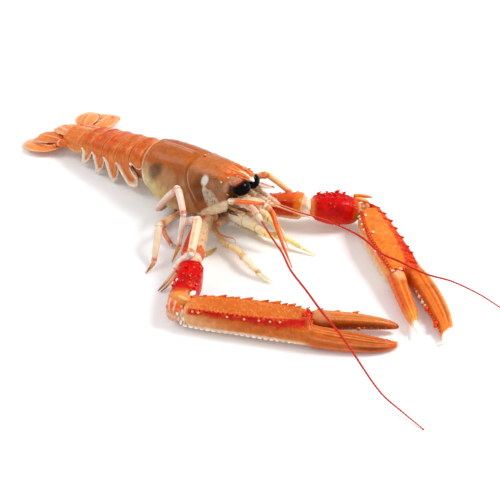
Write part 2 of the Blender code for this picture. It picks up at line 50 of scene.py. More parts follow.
# ================================================================ small maths
def spline(rows, count):
    """Catmull-Rom curve through the rows, count samples evenly along the chord of the first three columns."""
    rows = np.asarray(rows, float)
    step = np.linalg.norm(np.diff(rows[:, :3], axis=0), axis=1)
    t = np.concatenate([[0.0], np.cumsum(np.maximum(step, 1e-6))])
    grad = np.empty_like(rows)
    grad[1:-1] = (rows[2:] - rows[:-2]) / (t[2:] - t[:-2])[:, None]
    grad[0] = (rows[1] - rows[0]) / (t[1] - t[0])
    grad[-1] = (rows[-1] - rows[-2]) / (t[-1] - t[-2])
    u = np.linspace(0, t[-1], count)
    i = np.clip(np.searchsorted(t, u, "right") - 1, 0, len(rows) - 2)
    h = (t[i + 1] - t[i])[:, None]
    s = ((u - t[i]) / (t[i + 1] - t[i]))[:, None]
    return ((2 * s**3 - 3 * s**2 + 1) * rows[i] + (s**3 - 2 * s**2 + s) * h * grad[i]
            + (-2 * s**3 + 3 * s**2) * rows[i + 1] + (s**3 - s**2) * h * grad[i + 1])


def smooth(x, low, high):
    t = np.clip((np.asarray(x, float) - low) / (high - low), 0, 1)
    return t * t * (3 - 2 * t)


def bell(x, middle, width):
    return np.exp(-(((x - middle) / width) ** 2))


def rgb(r, g, b):
    """Linear colour from 0-255 display values."""
    c = np.array([r, g, b], float) / 255
    return np.where(c <= 0.04045, c / 12.92, ((c + 0.055) / 1.055) ** 2.4)


def over(under, colour, share):
    return under + (colour - under) * np.asarray(share)[..., None]


def scatter(i, j, k, seed):
    """A repeatable number in 0..1 for each lattice point."""
    n = (i * 73856093) ^ (j * 19349663) ^ (k * 83492791) ^ (seed * 668265263)
    n = (n ^ (n >> 13)) & 0x7FFFFFFF
    n = (n * (n * n * 15731 % 0x7FFFFFFF + 789221) + 1376312589) & 0x7FFFFFFF
    return n / float(0x7FFFFFFF)


def vnoise(p, size, seed=0):
    """Smooth noise in 0..1, one lump about size mm."""
    q = np.asarray(p, float) / size + 1000.0
    c = np.floor(q).astype(np.int64)
    f = q - c
    f = f * f * (3 - 2 * f)
    out = 0.0
    for a in (0, 1):
        for b in (0, 1):
            for d in (0, 1):
                w = (np.where(a, f[..., 0], 1 - f[..., 0]) * np.where(b, f[..., 1], 1 - f[..., 1])
                     * np.where(d, f[..., 2], 1 - f[..., 2]))
                out = out + w * scatter(c[..., 0] + a, c[..., 1] + b, c[..., 2] + d, seed)
    return out


def fbm(p, size, seed=0, octaves=3):
    total, weight = 0.0, 0.0
    for o in range(octaves):
        total = total + vnoise(p, size / 2**o, seed + 17 * o) / 2**o
        weight += 1 / 2**o
    return total / weight


def grains(p, size, seed=0, fill=1.0):
    """Round granules about size mm apart: 1 at a granule's top, 0 between them."""
    q = np.asarray(p, float) / size + 1000.0
    c = np.floor(q).astype(np.int64)
    best = np.full(q.shape[:-1], 9.0)
    for a in (-1, 0, 1):
        for b in (-1, 0, 1):
            for d in (-1, 0, 1):
                i, j, k = c[..., 0] + a, c[..., 1] + b, c[..., 2] + d
                keep = scatter(i, j, k, seed + 5) < fill
                dx = i + 0.2 + 0.6 * scatter(i, j, k, seed) - q[..., 0]
                dy = j + 0.2 + 0.6 * scatter(i, j, k, seed + 1) - q[..., 1]
                dz = k + 0.2 + 0.6 * scatter(i, j, k, seed + 2) - q[..., 2]
                best = np.minimum(best, np.where(keep, dx * dx + dy * dy + dz * dz, 9.0))
    return np.clip(1 - best / 0.2, 0, 1)


def frames(centre, up):
    tangent = np.gradient(centre, axis=0)
    tangent /= np.linalg.norm(tangent, axis=1)[:, None]
    side = np.cross(np.broadcast_to(up, tangent.shape), tangent)
    side /= np.linalg.norm(side, axis=1)[:, None]
    return tangent, side, np.cross(tangent, side)


def ring_normals(p):
    """Outward normals of a grid of rings (rings, around, 3)."""
    along = np.gradient(p, axis=0)
    round_ = np.roll(p, -1, axis=1) - np.roll(p, 1, axis=1)
    n = np.cross(round_, along)
    n /= np.maximum(np.linalg.norm(n, axis=2), 1e-9)[..., None]
    out = p - p.mean(axis=1, keepdims=True)
    if (n * out).sum() < 0:
        n = -n
    return n


def push(p, amount):
    return p + ring_normals(p) * np.asarray(amount)[..., None]


# ================================================================ pieces
class Piece:
    """One shown object: several closed shells with painted vertices. wet is 0 (dull) to 1 (glossy)."""

    def __init__(self, name, nodes, slot, look):
        self.name, self.nodes, self.slot, self.look = name, nodes, slot, look
        self.v, self.c, self.w, self.f, self.count = [], [], [], [], 0

    def add(self, verts, colours, wet, faces):
        verts = np.asarray(verts, float).reshape(-1, 3)
        n = len(verts)
        self.v.append(verts)
        self.c.append(np.broadcast_to(np.asarray(colours, float), (n, 3)) if np.ndim(colours) == 1 else np.asarray(colours, float).reshape(-1, 3))
        self.w.append(np.broadcast_to(np.asarray(wet, float), (n,)) if np.ndim(wet) == 0 else np.asarray(wet, float).reshape(-1))
        self.f += [tuple(int(i) + self.count for i in face) for face in faces]
        self.count += n

    def grid(self, p, colours, wet=0.5):
        """A closed shell from rings (rings, around, 3), with a fan at each end."""
        p = np.asarray(p, float)
        n, m, _ = p.shape
        if np.ndim(colours) == 1:
            colours = np.broadcast_to(colours, p.shape)
        wet = np.broadcast_to(wet, (n, m))
        verts = np.concatenate([p.reshape(-1, 3), p[0].mean(0)[None], p[-1].mean(0)[None]])
        cols = np.concatenate([colours.reshape(-1, 3), colours[0].mean(0)[None], colours[-1].mean(0)[None]])
        wets = np.concatenate([wet.reshape(-1), [wet[0].mean(), wet[-1].mean()]])
        i, j = np.meshgrid(np.arange(n - 1), np.arange(m), indexing="ij")
        j2 = (j + 1) % m
        quads = np.stack([i * m + j, i * m + j2, (i + 1) * m + j2, (i + 1) * m + j], -1).reshape(-1, 4)
        k = np.arange(m)
        first = np.stack([np.full(m, n * m), (k + 1) % m, k], -1)
        last = np.stack([np.full(m, n * m + 1), (n - 1) * m + k, (n - 1) * m + (k + 1) % m], -1)
        # faces are turned outward: the signed volume says which way they look
        a, b, c = verts[quads[:, 0]], verts[quads[:, 1]], verts[quads[:, 2]]
        d = verts[quads[:, 3]]
        volume = (np.cross(a, b) * c).sum() + (np.cross(a, c) * d).sum()
        if volume < 0:
            quads, first, last = quads[:, ::-1], first[:, ::-1], last[:, ::-1]
        self.add(verts, cols, wets, quads.tolist() + first.tolist() + last.tolist())

    def cone(self, base, way, length, radius, colour, tip=None, bend=(0, 0, 0), wet=0.7, around=7, power=1.0):
        """A spine or bristle: a tapering round tube from base along way, bent by the vector bend."""
        base, way = np.asarray(base, float), np.asarray(way, float)
        way = way / np.linalg.norm(way)
        side = np.cross(way, (0.31, 0.52, 0.8))
        side /= np.linalg.norm(side)
        top = np.cross(way, side)
        t = np.array([-0.3, 0.0, 0.25, 0.5, 0.75, 0.92, 1.0])
        r = radius * np.array([1.1, 1.0, 0.78, 0.54, 0.3, 0.13, 0.04]) ** power
        centre = base + t[:, None] * way * length + (np.clip(t, 0, 1) ** 2)[:, None] * np.asarray(bend, float)
        a = np.arange(around) * 2 * np.pi / around
        p = centre[:, None] + r[:, None, None] * (np.cos(a)[None, :, None] * side + np.sin(a)[None, :, None] * top)
        tip = colour if tip is None else tip
        c = colour + (np.asarray(tip) - colour) * smooth(t, 0.2, 0.9)[:, None]
        self.grid(p, np.broadcast_to(c[:, None], p.shape), wet)

    def bead(self, centre, radii, colour, wet=0.8, axes=None, rings=7, around=10):
        """An ellipsoid; axes are three unit vectors, or the world's."""
        axes = np.eye(3) if axes is None else np.asarray(axes, float)
        u = -np.pi / 2 + np.pi * (np.arange(rings) + 0.35) / (rings - 0.3)
        a = np.arange(around) * 2 * np.pi / around
        x = np.sin(u)[:, None] * np.ones(around)
        y = np.cos(u)[:, None] * np.cos(a)
        z = np.cos(u)[:, None] * np.sin(a)
        p = np.asarray(centre, float) + (x[..., None] * radii[0] * axes[0] + y[..., None] * radii[1] * axes[1] + z[..., None] * radii[2] * axes[2])
        self.grid(p, colour, wet)

    def hair(self, points, radius, colour, tip=None, around=4):
        """A bristle along a few points."""
        rows = np.asarray(points, float)
        t = np.linspace(0, 1, len(rows))
        _, side, top = frames(rows, (0.13, 0.31, 0.9))
        a = np.arange(around) * 2 * np.pi / around
        r = radius * (1 - 0.85 * t)
        p = rows[:, None] + r[:, None, None] * (np.cos(a)[None, :, None] * side[:, None] + np.sin(a)[None, :, None] * top[:, None])
        tip = colour if tip is None else tip
        c = colour + (np.asarray(tip) - colour) * t[:, None]
        self.grid(p, np.broadcast_to(c[:, None], p.shape), 0.4)

    def done(self):
        v = (np.concatenate(self.v) + FRAME) * MM
        mesh = bpy.data.meshes.new(self.name)
        mesh.from_pydata(v.tolist(), [], self.f)
        tint = mesh.attributes.new("tint", "FLOAT_COLOR", "POINT")
        # the moist surface's own reflection is taken off the painted colour
        c = np.concatenate([np.clip(np.concatenate(self.c) - (0.004, 0.008, 0.016), 0.0012, 1), np.ones((len(v), 1))], 1)
        tint.data.foreach_set("color", c.astype(np.float32).ravel())
        wet = mesh.attributes.new("wet", "FLOAT", "POINT")
        wet.data.foreach_set("value", np.concatenate(self.w).astype(np.float32))
        mesh.shade_smooth()
        mesh.materials.append(self.look)
        ob = bpy.data.objects.new(self.name, mesh)
        bpy.context.scene.collection.objects.link(ob)
        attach(ob, "root")
        if self.nodes:
            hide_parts(*self.nodes)
        return ob


# ================================================================ materials
def shell_look(name, rough=(0.42, 0.22), coat=0.25, through=0.12, radius=(1.6, 0.7, 0.35), grain=0.25, grain_size=0.35,
               blotch=0.10, blotch_size=2.2, fine=0.06, specular=0.4):
    """Moist shell: painted tint with two scales of mottling, fine pores in the relief, gloss from the wet zones.
    Sizes are millimetres."""
    mat = bpy.data.materials.new(name)
    mat.use_nodes = True
    tree = mat.node_tree
    nodes, links = tree.nodes, tree.links
    shader = nodes["Principled BSDF"]
    tint = nodes.new("ShaderNodeAttribute")
    tint.attribute_name = "tint"
    wet = nodes.new("ShaderNodeAttribute")
    wet.attribute_name = "wet"
    where = nodes.new("ShaderNodeTexCoord")

    def noise(size, detail, rough_=0.55):
        n = nodes.new("ShaderNodeTexNoise")
        n.inputs["Scale"].default_value = 1 / (size * MM)
        n.inputs["Detail"].default_value = detail
        n.inputs["Roughness"].default_value = rough_
        links.new(where.outputs["Object"], n.inputs["Vector"])
        return n.outputs["Fac"]

    def ramp(value, low, high, to_low, to_high):
        r = nodes.new("ShaderNodeMapRange")
        r.inputs["From Min"].default_value = low
        r.inputs["From Max"].default_value = high
        r.inputs["To Min"].default_value = to_low
        r.inputs["To Max"].default_value = to_high
        links.new(value, r.inputs["Value"])
        return r.outputs["Result"]

    def mix(kind, a, b, fac=1.0):
        m = nodes.new("ShaderNodeMix")
        m.data_type = "RGBA"
        m.blend_type = kind
        m.inputs["Factor"].default_value = fac
        links.new(a, m.inputs[6])
        links.new(b, m.inputs[7])
        return m.outputs[2]

    big = ramp(noise(blotch_size, 3), 0.3, 0.7, 1 - blotch, 1 + blotch)
    small = ramp(noise(0.45, 4, 0.7), 0.3, 0.7, 1 - fine, 1 + fine)
    col = mix("MULTIPLY", mix("MULTIPLY", tint.outputs["Color"], big), small)
    links.new(col, shader.inputs["Base Color"])
    base_rough = nodes.new("ShaderNodeMapRange")
    base_rough.inputs["To Min"].default_value = rough[0]
    base_rough.inputs["To Max"].default_value = rough[1]
    links.new(wet.outputs["Fac"], base_rough.inputs["Value"])
    vary = nodes.new("ShaderNodeMath")
    vary.operation = "MULTIPLY"
    links.new(base_rough.outputs["Result"], vary.inputs[0])
    links.new(ramp(noise(1.3, 3), 0.3, 0.7, 0.75, 1.3), vary.inputs[1])
    links.new(vary.outputs[0], shader.inputs["Roughness"])
    pores = nodes.new("ShaderNodeTexVoronoi")
    pores.inputs["Scale"].default_value = 1 / (grain_size * MM)
    links.new(where.outputs["Object"], pores.inputs["Vector"])
    height = nodes.new("ShaderNodeMath")
    height.operation = "ADD"
    links.new(pores.outputs["Distance"], height.inputs[0])
    links.new(noise(0.8, 3), height.inputs[1])
    bump = nodes.new("ShaderNodeBump")
    bump.inputs["Strength"].default_value = grain
    bump.inputs["Distance"].default_value = 0.12 * MM
    links.new(height.outputs[0], bump.inputs["Height"])
    links.new(bump.outputs["Normal"], shader.inputs["Normal"])
    shader.inputs["Subsurface Weight"].default_value = through
    shader.inputs["Subsurface Radius"].default_value = radius
    shader.inputs["Subsurface Scale"].default_value = 1.0 * MM
    shader.inputs["Coat Weight"].default_value = coat
    shader.inputs["Coat Roughness"].default_value = 0.09
    shader.inputs["Specular IOR Level"].default_value = specular
    return mat


LOOK = {
    "carapace": shell_look("moist_shell_brown", rough=(0.36, 0.20), coat=0.20, through=0.06, blotch=0.16, grain=0.34, specular=0.13),
    "tail": shell_look("moist_shell_orange", rough=(0.38, 0.22), coat=0.16, through=0.05, blotch=0.16, grain=0.38, specular=0.12),
    "fan": shell_look("thin_tail_blade", rough=(0.36, 0.22), coat=0.16, through=0.16, radius=(1.8, 1.1, 0.7), blotch=0.10, grain=0.2, specular=0.12),
    "claw": shell_look("granular_claw_shell", rough=(0.38, 0.20), coat=0.16, through=0.04, blotch=0.14, grain=0.55, grain_size=0.5, specular=0.13),
    "wrist": shell_look("wet_red_shell", rough=(0.30, 0.12), coat=0.13, through=0.0, blotch=0.18, grain=0.3, specular=0.05),
    "leg": shell_look("pale_leg_shell", rough=(0.40, 0.26), coat=0.14, through=0.30, radius=(2.0, 1.5, 1.1), blotch=0.08, grain=0.15, specular=0.18),
    "feeler": shell_look("feeler_shell", rough=(0.40, 0.26), coat=0.14, through=0.08, blotch=0.14, grain=0.3, specular=0.14),
    "mouth": shell_look("mouthpart_shell", rough=(0.36, 0.20), coat=0.25, through=0.6, radius=(2.0, 1.5, 1.1), blotch=0.10, grain=0.2, specular=0.2),
    "eye": shell_look("wet_black_eye", rough=(0.14, 0.05), coat=0.0, through=0.0, blotch=0.05, grain=0.04, fine=0.02, specular=0.07),
}

# the colours, as display values
BROWN = rgb(168, 98, 54)
ORANGE = rgb(206, 100, 42)
DEEP = rgb(196, 78, 26)
PALE = rgb(232, 196, 164)
WHITE = rgb(240, 228, 214)
CREAM = rgb(214, 188, 144)
DARK = rgb(96, 54, 34)
RED = rgb(196, 26, 8)


# ================================================================ carapace with rostrum
# station x, half width, crest z, widest z, edge half width, edge z, belly z
CARAPACE = [
    (-0.6, 10.8, 27.0, 15.6, 11.2, 6.6, 6.8),
    (0.6, 11.8, 28.0, 15.6, 12.4, 6.0, 5.6),
    (5.0, 12.6, 29.2, 15.6, 13.4, 5.4, 4.9),
    (12.0, 13.1, 30.1, 15.8, 14.0, 5.3, 4.7),
    (20.0, 13.4, 30.8, 16.0, 14.0, 5.7, 4.6),
    (27.0, 13.2, 31.1, 16.3, 13.7, 6.5, 4.6),
    (34.0, 12.8, 31.5, 17.0, 13.3, 7.6, 4.8),
    (41.0, 11.9, 31.9, 18.0, 12.2, 9.2, 6.2),
    (47.0, 10.5, 32.2, 19.2, 10.4, 12.0, 9.6),
    (51.6, 8.8, 32.4, 20.4, 8.6, 15.4, 13.6),
    (53.0, 6.6, 32.5, 24.0, 6.6, 19.5, 19.0),
    (54.2, 4.5, 32.6, 31.2, 4.2, 30.9, 30.7),
    (57.4, 3.6, 32.6, 31.4, 3.3, 31.0, 30.8),
    (59.4, 2.4, 32.1, 31.2, 2.2, 30.7, 30.5),
    (60.9, 1.1, 31.4, 30.8, 1.0, 30.5, 30.4),
    (61.8, 0.35, 31.0, 30.75, 0.33, 30.6, 30.55),
]
GROOVE = np.array([(28.6, 32.0), (29.0, 30.5), (28.5, 28.2), (29.4, 25.1), (31.7, 21.3), (33.8, 18.5), (35.7, 15.6), (37.6, 12.6), (39.0, 9.5)])


def rear_sweep(x, z):
    low = max(0.0, (16.0 - z) / 11.0)
    return 11.6 * low**2.3 * max(0.0, 1.0 - max(x, 0.0) / 26.0)


def carapace_half(x, a, crest, mid, edge, low, belly):
    h = crest - mid
    pts = [(x, 0, crest), (x, -0.38 * a, crest - 0.05 * h), (x, -0.70 * a, crest - 0.23 * h),
           (x, -0.92 * a, crest - 0.56 * h), (x, -a, mid)]
    z = 0.5 * (mid + low)
    pts.append((x + rear_sweep(x, z), -0.5 * (a + edge) - 0.015 * a, z))
    pts.append((x + rear_sweep(x, low), -edge, low))
    z = min(low + 0.5, mid)
    inner = 0.72 * edge
    pts.append((x + 0.45 * rear_sweep(x, low), -inner, 0.5 * (low + belly)))
    pts.append((x, -0.35 * edge, belly))
    pts.append((x, 0, belly))
    return pts


def whole(half):
    """Whole rings from right halves (rings, points, 3)."""
    return np.concatenate([half, half[:, 1:-1][:, ::-1] * (1, -1, 1)], axis=1)


def curve_distance(x, z, line):
    """Distance from the points (x, z) to a polyline, and the share of the way along it."""
    best, at = np.full(np.shape(x), 1e9), np.zeros(np.shape(x))
    total = len(line) - 1
    for i in range(total):
        (x0, z0), (x1, z1) = line[i], line[i + 1]
        dx, dz = x1 - x0, z1 - z0
        t = np.clip(((x - x0) * dx + (z - z0) * dz) / (dx * dx + dz * dz), 0, 1)
        d = np.hypot(x - x0 - t * dx, z - z0 - t * dz)
        at = np.where(d < best, (i + t) / total, at)
        best = np.minimum(best, d)
    return best, at


def side_of(x, z, line):
    """Positive in front of the line (towards the head)."""
    zs = line[::-1, 1]
    xs = line[::-1, 0]
    return x - np.interp(z, zs, xs)


def spot(x, z, cx, cz, rx, rz, tilt=0.0, soft=0.5):
    """1 inside a tilted ellipse, fading over its edge."""
    t = math.radians(tilt)
    u = (x - cx) * math.cos(t) + (z - cz) * math.sin(t)
    v = -(x - cx) * math.sin(t) + (z - cz) * math.cos(t)
    d = np.sqrt((u / rx) ** 2 + (v / rz) ** 2)
    return 1 - smooth(d, 1 - soft, 1 + soft)


rows = spline(CARAPACE, 230)
half = np.array([spline(carapace_half(*r), 64) for r in rows])
P = whole(half)
X, Y, Z = P[..., 0], np.abs(P[..., 1]), P[..., 2]
g, g_at = curve_distance(X, Z, GROOVE)
lift = -0.50 * bell(g, 0, 0.75) * smooth(g_at, 0.0, 0.10) * (1 - smooth(g_at, 0.80, 1.0))
front = side_of(X, Z, GROOVE)
lift += 0.30 * bell(front, 1.9, 1.3) * smooth(Z, 14, 19) * (1 - smooth(Z, 28, 31)) * (Y > 3)
# the ridge line along the back and the shallow groove beside it
lift += 0.22 * bell(Y, 0, 0.55) * smooth(X, 1, 5) * (1 - smooth(X, 26, 29))
lift -= 0.16 * bell(Y, 1.35, 0.5) * smooth(X, 1, 5) * (1 - smooth(X, 26, 29))
# the edge between the top and the side plates, behind the groove
edge_line = np.interp(X, [0, 5, 12, 18, 23, 27], [22.6, 23.6, 25.4, 26.7, 27.5, 28.3])
lift += 0.24 * (smooth(Z - edge_line, -0.9, 0.6) - 0.5) * smooth(X, 1, 6) * (1 - smooth(X, 25, 28)) * (Z > 18)
# raised rim along the rear edge with a furrow before it
lift += 0.30 * bell(X - np.array([[rear_sweep(xx, zz) for xx, zz in zip(rx, rz)] for rx, rz in zip(X, Z)]), 0.1, 0.8) * (Z > 5.4)
lift -= 0.22 * bell(X - np.array([[rear_sweep(xx, zz) for xx, zz in zip(rx, rz)] for rx, rz in zip(X, Z)]), 2.1, 0.7) * (Z > 7)
# carinae running to the rostrum
for off, deep in ((2.9, 0.34), (4.7, 0.22)):
    line = off * np.interp(X, [34, 44, 52, 57, 61], [1.15, 1.15, 1.0, 0.85, 0.25])
    lift += deep * bell(Y, line, 0.45) * smooth(X, 36, 41) * (1 - smooth(X, 58, 60.5)) * (Z > 29)
lift -= 0.60 * bell(Y, 0, 1.5) * smooth(X, 49, 53) * (1 - smooth(X, 58.5, 61)) * (Z > 31.6)
# uneven, finely granular surface
lift += 0.20 * (fbm(P, 5.0, 3) - 0.5) + 0.10 * (fbm(P, 1.6, 7) - 0.5)
lift += (0.05 + 0.07 * smooth(X, 30, 40)) * grains(P, 0.9, 11, 0.7) * (Z > 8)
P = push(P, lift * (1 - smooth(X, 60.4, 61.6)))
# the beak leans a little to the right
P[..., 1] -= 0.9 * smooth(P[..., 0], 53.5, 61.5)


def paint_carapace(P, X, Y, Z, g, front):
    """X, Y, Z are the smooth body's coordinates, Y as a distance from the middle."""
    wx = X + 2.6 * (fbm(P, 6, 21) - 0.5)
    wz = Z + 2.6 * (fbm(P, 6, 22) - 0.5)
    mott = fbm(P, 2.4, 23)
    c = np.broadcast_to(BROWN, P.shape).copy()
    behind = (1 - smooth(front, -0.8, 0.8))
    ahead = 1 - behind
    # behind the groove: tan side, cream to the rear and below
    c = over(c, rgb(178, 124, 82), behind * (1 - smooth(wz, 22, 26)))
    c = over(c, rgb(194, 164, 104), behind * (1 - smooth(wz, 10.5, 18)) * (1 - smooth(wx, 16, 28)))
    c = over(c, rgb(200, 178, 124), behind * spot(wx, wz, 7.0, 12.5, 4.8, 6.2, 20, 0.5) * 0.9)
    c = over(c, rgb(212, 192, 164), behind * (1 - smooth(wz, 5.5, 9.5)) * (1 - smooth(wx, 20, 30)))
    c = over(c, rgb(158, 84, 48), behind * bell(wx, 24.4 + 0.18 * (28 - wz), 2.7) * smooth(wz, 12, 20) * 0.9)
    c = over(c, rgb(146, 82, 44), behind * bell(wx, 30, 3.0) * (1 - smooth(wz, 13, 21)) * 0.75)
    c = over(c, rgb(102, 62, 44), behind * spot(wx, wz, 9.8, 20.4, 3.8, 5.8, -32, 0.5) * 0.9)
    # the top, orange over brown
    top = smooth(wz - np.interp(X, [0, 5, 12, 18, 23, 27], [22.0, 23.0, 24.9, 26.2, 27.0, 27.8]), -1.0, 0.8)
    c = over(c, rgb(176, 90, 38), behind * top)
    c = over(c, rgb(160, 86, 40), behind * smooth(Z, 27.2, 29.0) * (1 - smooth(X, 22, 27)) * 0.8)
    c = over(c, rgb(186, 92, 36), bell(Y, 5.8, 1.6) * behind * smooth(Z, 24, 27) * 0.7)
    # pale line along the ridge of the back: painted highlight
    c = over(c, rgb(214, 158, 124), bell(Y, 0.6, 0.5) * behind * smooth(X, 3, 7) * (1 - smooth(X, 22, 26)) * smooth(Z, 24, 27) * 0.7)
    c = over(c, rgb(186, 74, 34), bell(Y, 2.1, 0.7) * behind * smooth(Z, 24, 27) * (1 - smooth(X, 24, 28)) * 0.65)
    # in front of the groove
    c = over(c, rgb(160, 96, 60), ahead * (1 - smooth(wz, 25, 29)))
    c = over(c, rgb(112, 62, 32), ahead * spot(wx, wz, 38.2, 20.5, 3.2, 7.6, 4, 0.5) * 0.85)
    c = over(c, rgb(132, 74, 40), ahead * spot(wx, wz, 34.0, 17.0, 2.6, 6.0, 30, 0.6) * 0.6)
    c = over(c, rgb(160, 116, 88), ahead * spot(wx, wz, 45.9, 26.0, 3.4, 4.0, 0, 0.5) * 0.8)
    c = over(c, rgb(122, 74, 50), ahead * spot(wx, wz, 43.0, 29.2, 3.4, 1.8, 0, 0.6) * 0.75 * (Y > 4.5))
    c = over(c, rgb(166, 124, 94), ahead * spot(wx, wz, 49.6, 21.8, 2.1, 5.0, 0, 0.6) * 0.75)
    c = over(c, rgb(166, 100, 62), ahead * spot(wx, wz, 38.2, 12.6, 5.5, 2.6, 10, 0.5) * 0.85)
    c = over(c, rgb(188, 104, 54), ahead * smooth(wz, 27.6, 30.2) * 0.95)
    c = over(c, rgb(206, 108, 48), smooth(X, 38, 48) * smooth(wz, 28.4, 30.6) * 0.9)
    # the whitish patch, the speckled patch below it and the beige lower front, run together
    sx, sz = 0.45 * wx + 0.55 * X + 0.9 * (fbm(P, 1.7, 24) - 0.5), 0.45 * wz + 0.55 * Z + 0.9 * (fbm(P, 1.7, 25) - 0.5)
    d, at = curve_distance(sx, sz, np.array([(40.6, 24.4), (41.4, 22.4), (43.8, 19.9), (45.9, 17.3), (47.1, 15.4), (47.6, 13.4)]))
    speck = (1 - smooth(d / np.interp(at, [0, 0.15, 0.4, 0.8, 1], [0.55, 1.4, 3.5, 3.7, 2.8]), 0.8, 1.12)) * (Y > 4)
    c = over(c, rgb(186, 170, 144), speck)
    c = over(c, rgb(214, 202, 178), speck * smooth(fbm(P, 1.1, 52), 0.50, 0.62) * 0.7)
    c = over(c, rgb(118, 92, 66), speck * grains(P, 1.15, 51, 0.75) * (1 - smooth(at, 0.75, 1.0)) * 0.8)
    d, at = curve_distance(sx, sz, np.array([(38.6, 8.4), (42.2, 10.4), (46.6, 12.4), (50.0, 14.6), (51.8, 17.6)]))
    beige = (1 - smooth(d / np.interp(at, [0, 0.3, 0.7, 1], [1.3, 2.5, 4.2, 2.6]), 0.7, 1.15)) * (Y > 3)
    c = over(c, rgb(247, 229, 190), beige * 0.97)
    c = over(c, rgb(252, 244, 222), beige * smooth(fbm(P, 1.9, 53), 0.48, 0.66) * 0.5)
    c = over(c, rgb(232, 224, 212), spot(sx, sz, 40.2, 26.3, 1.7, 2.0, -20, 0.3) * (Y > 4))
    # the furrow, dark above and edged pale in front below
    c = over(c, rgb(96, 52, 30), bell(g, 0, 0.62) * smooth(Z, 20, 26) * (1 - smooth(Z, 28, 31.5)) * 0.6)
    c = over(c, rgb(120, 64, 36), bell(front, -0.9, 0.9) * (1 - smooth(Z, 18, 26)) * smooth(Z, 9, 13) * 0.7)
    c = over(c, rgb(214, 168, 124), bell(front, 0.75, 0.55) * smooth(Z, 14.5, 17.5) * (1 - smooth(Z, 25.5, 28)) * (Y > 5) * 0.9)
    # pale patch behind the eye, orange arc over it
    c = over(c, rgb(196, 142, 112), spot(X, Z, 51.4, 26.4, 1.3, 2.4, 0, 0.5) * (Y > 5) * 0.9)
    c = over(c, rgb(228, 116, 44), bell(Z, 31.4, 0.9) * smooth(X, 49, 51.5) * (Y > 3.0) * 0.9)
    # rostrum: red ridges, orange between, pale middle stripe and tip
    ros = smooth(X, 45, 50) * smooth(Z, 29.5, 31)
    # flow lines converge on the tip
    fan_ = Y / np.interp(X, [44, 50, 54, 58, 61.5], [7.6, 6.6, 4.6, 3.4, 0.8])
    lines_ = 0.5 + 0.5 * np.cos(fan_ * 2 * np.pi * 2.6 + 0.9)
    c = over(c, rgb(206, 72, 24), ros * smooth(lines_, 0.45, 0.95) * 0.85)
    c = over(c, rgb(240, 150, 84), ros * (1 - smooth(lines_, 0.05, 0.42)) * 0.7)
    c = over(c, rgb(224, 96, 30), ros * smooth(fan_, 0.80, 0.95) * 0.8)
    c = over(c, rgb(250, 230, 204), bell(fan_, 0.0, 0.12) * smooth(X, 51.5, 54.5) * smooth(Z, 29.5, 31))
    c = over(c, rgb(252, 242, 228), smooth(X, 59.4, 60.8) * (1 - 0.8 * smooth(fan_, 0.45, 0.9)))
    # face under the rostrum
    c = over(c, rgb(104, 62, 38), smooth(X, 51.9, 52.9) * (1 - smooth(Z, 26.0, 29.0)) * (X < 56))
    # rims: pale line along the rear edge, cream below
    sweep = np.array([[rear_sweep(xx, zz) for xx, zz in zip(rx, rz)] for rx, rz in zip(X, Z)])
    rim = X - sweep
    c = over(c, rgb(224, 164, 116), bell(rim, 0.45, 0.6) * smooth(Z, 14, 22) * 0.85)
    c = over(c, rgb(226, 214, 192), bell(rim, 0.2, 1.25) * (1 - smooth(Z, 15, 20)))
    c = over(c, rgb(196, 84, 34), bell(rim, 2.0, 0.6) * smooth(Z, 20, 25) * 0.6)
    # belly side
    c = over(c, rgb(224, 196, 160), 1 - smooth(Z, 4.9, 6.2))
    # mottling
    c = c * (1 + 0.22 * (mott - 0.5))[..., None]
    c = c * (1 + 0.16 * (fbm(P, 0.9, 29) - 0.5))[..., None]
    return c


C = paint_carapace(P, X, Y, Z, g, front)
carapace = Piece("carapace_shell", ["carapace"], "shell_brown", LOOK["carapace"])
carapace.grid(P, C, 0.55 + 0.3 * (fbm(P, 4, 41) - 0.5))
ROS, TIPC = rgb(226, 104, 44), rgb(250, 226, 200)
for s in (-1, 1):
    # teeth along the rostrum and the spines behind them
    for x, y, z, up, length in ((59.0, 2.3, 31.5, 0.5, 1.2), (56.8, 3.4, 31.8, 0.5, 1.5), (54.4, 4.2, 31.8, 0.5, 1.5)):
        carapace.cone((x, s * y - 0.9 * float(smooth(x, 53.5, 61.5)), z), (0.85, 0.45 * s, up), length, 0.5, ROS, TIPC)
    for x, y, z, length in ((50.8, 3.1, 32.0, 1.2), (47.4, 3.3, 31.9, 1.0), (44.2, 3.4, 31.6, 0.8), (41.2, 3.5, 31.3, 0.6)):
        carapace.cone((x, s * y, z - 0.2), (0.8, 0.15 * s, 0.75), length, 0.5, rgb(214, 96, 40), rgb(238, 150, 96))
    # spines behind the eye, at the antenna and on the cheek; the near-white tips of the first two are painted
    # highlights
    carapace.cone((50.2, s * 5.7, 29.9), (0.9, 0.2 * s, 0.5), 2.0, 0.7, rgb(226, 120, 60), rgb(255, 246, 235))
    carapace.cone((48.0, s * 7.7, 27.9), (0.85, 0.5 * s, 0.35), 2.0, 0.75, rgb(190, 110, 66), rgb(255, 248, 240))
    carapace.cone((52.0, s * 8.2, 23.4), (0.95, 0.35 * s, 0.1), 1.8, 0.6, rgb(200, 120, 72), TIPC)
    if s < 0:
        carapace.cone((44.8, s * 8.4, 29.2), (0.8, 0.5 * s, 0.3), 0.7, 0.5, rgb(150, 84, 48), rgb(206, 140, 92))
    carapace.cone((47.2, s * 9.8, 25.4), (0.8, 0.6 * s, 0.2), 0.7, 0.5, rgb(150, 92, 58), rgb(214, 164, 120))
carapace.cone((31.2, 0, 31.8), (0.8, 0, 0.6), 0.9, 0.5, rgb(206, 110, 56), TIPC)
carapace.done()

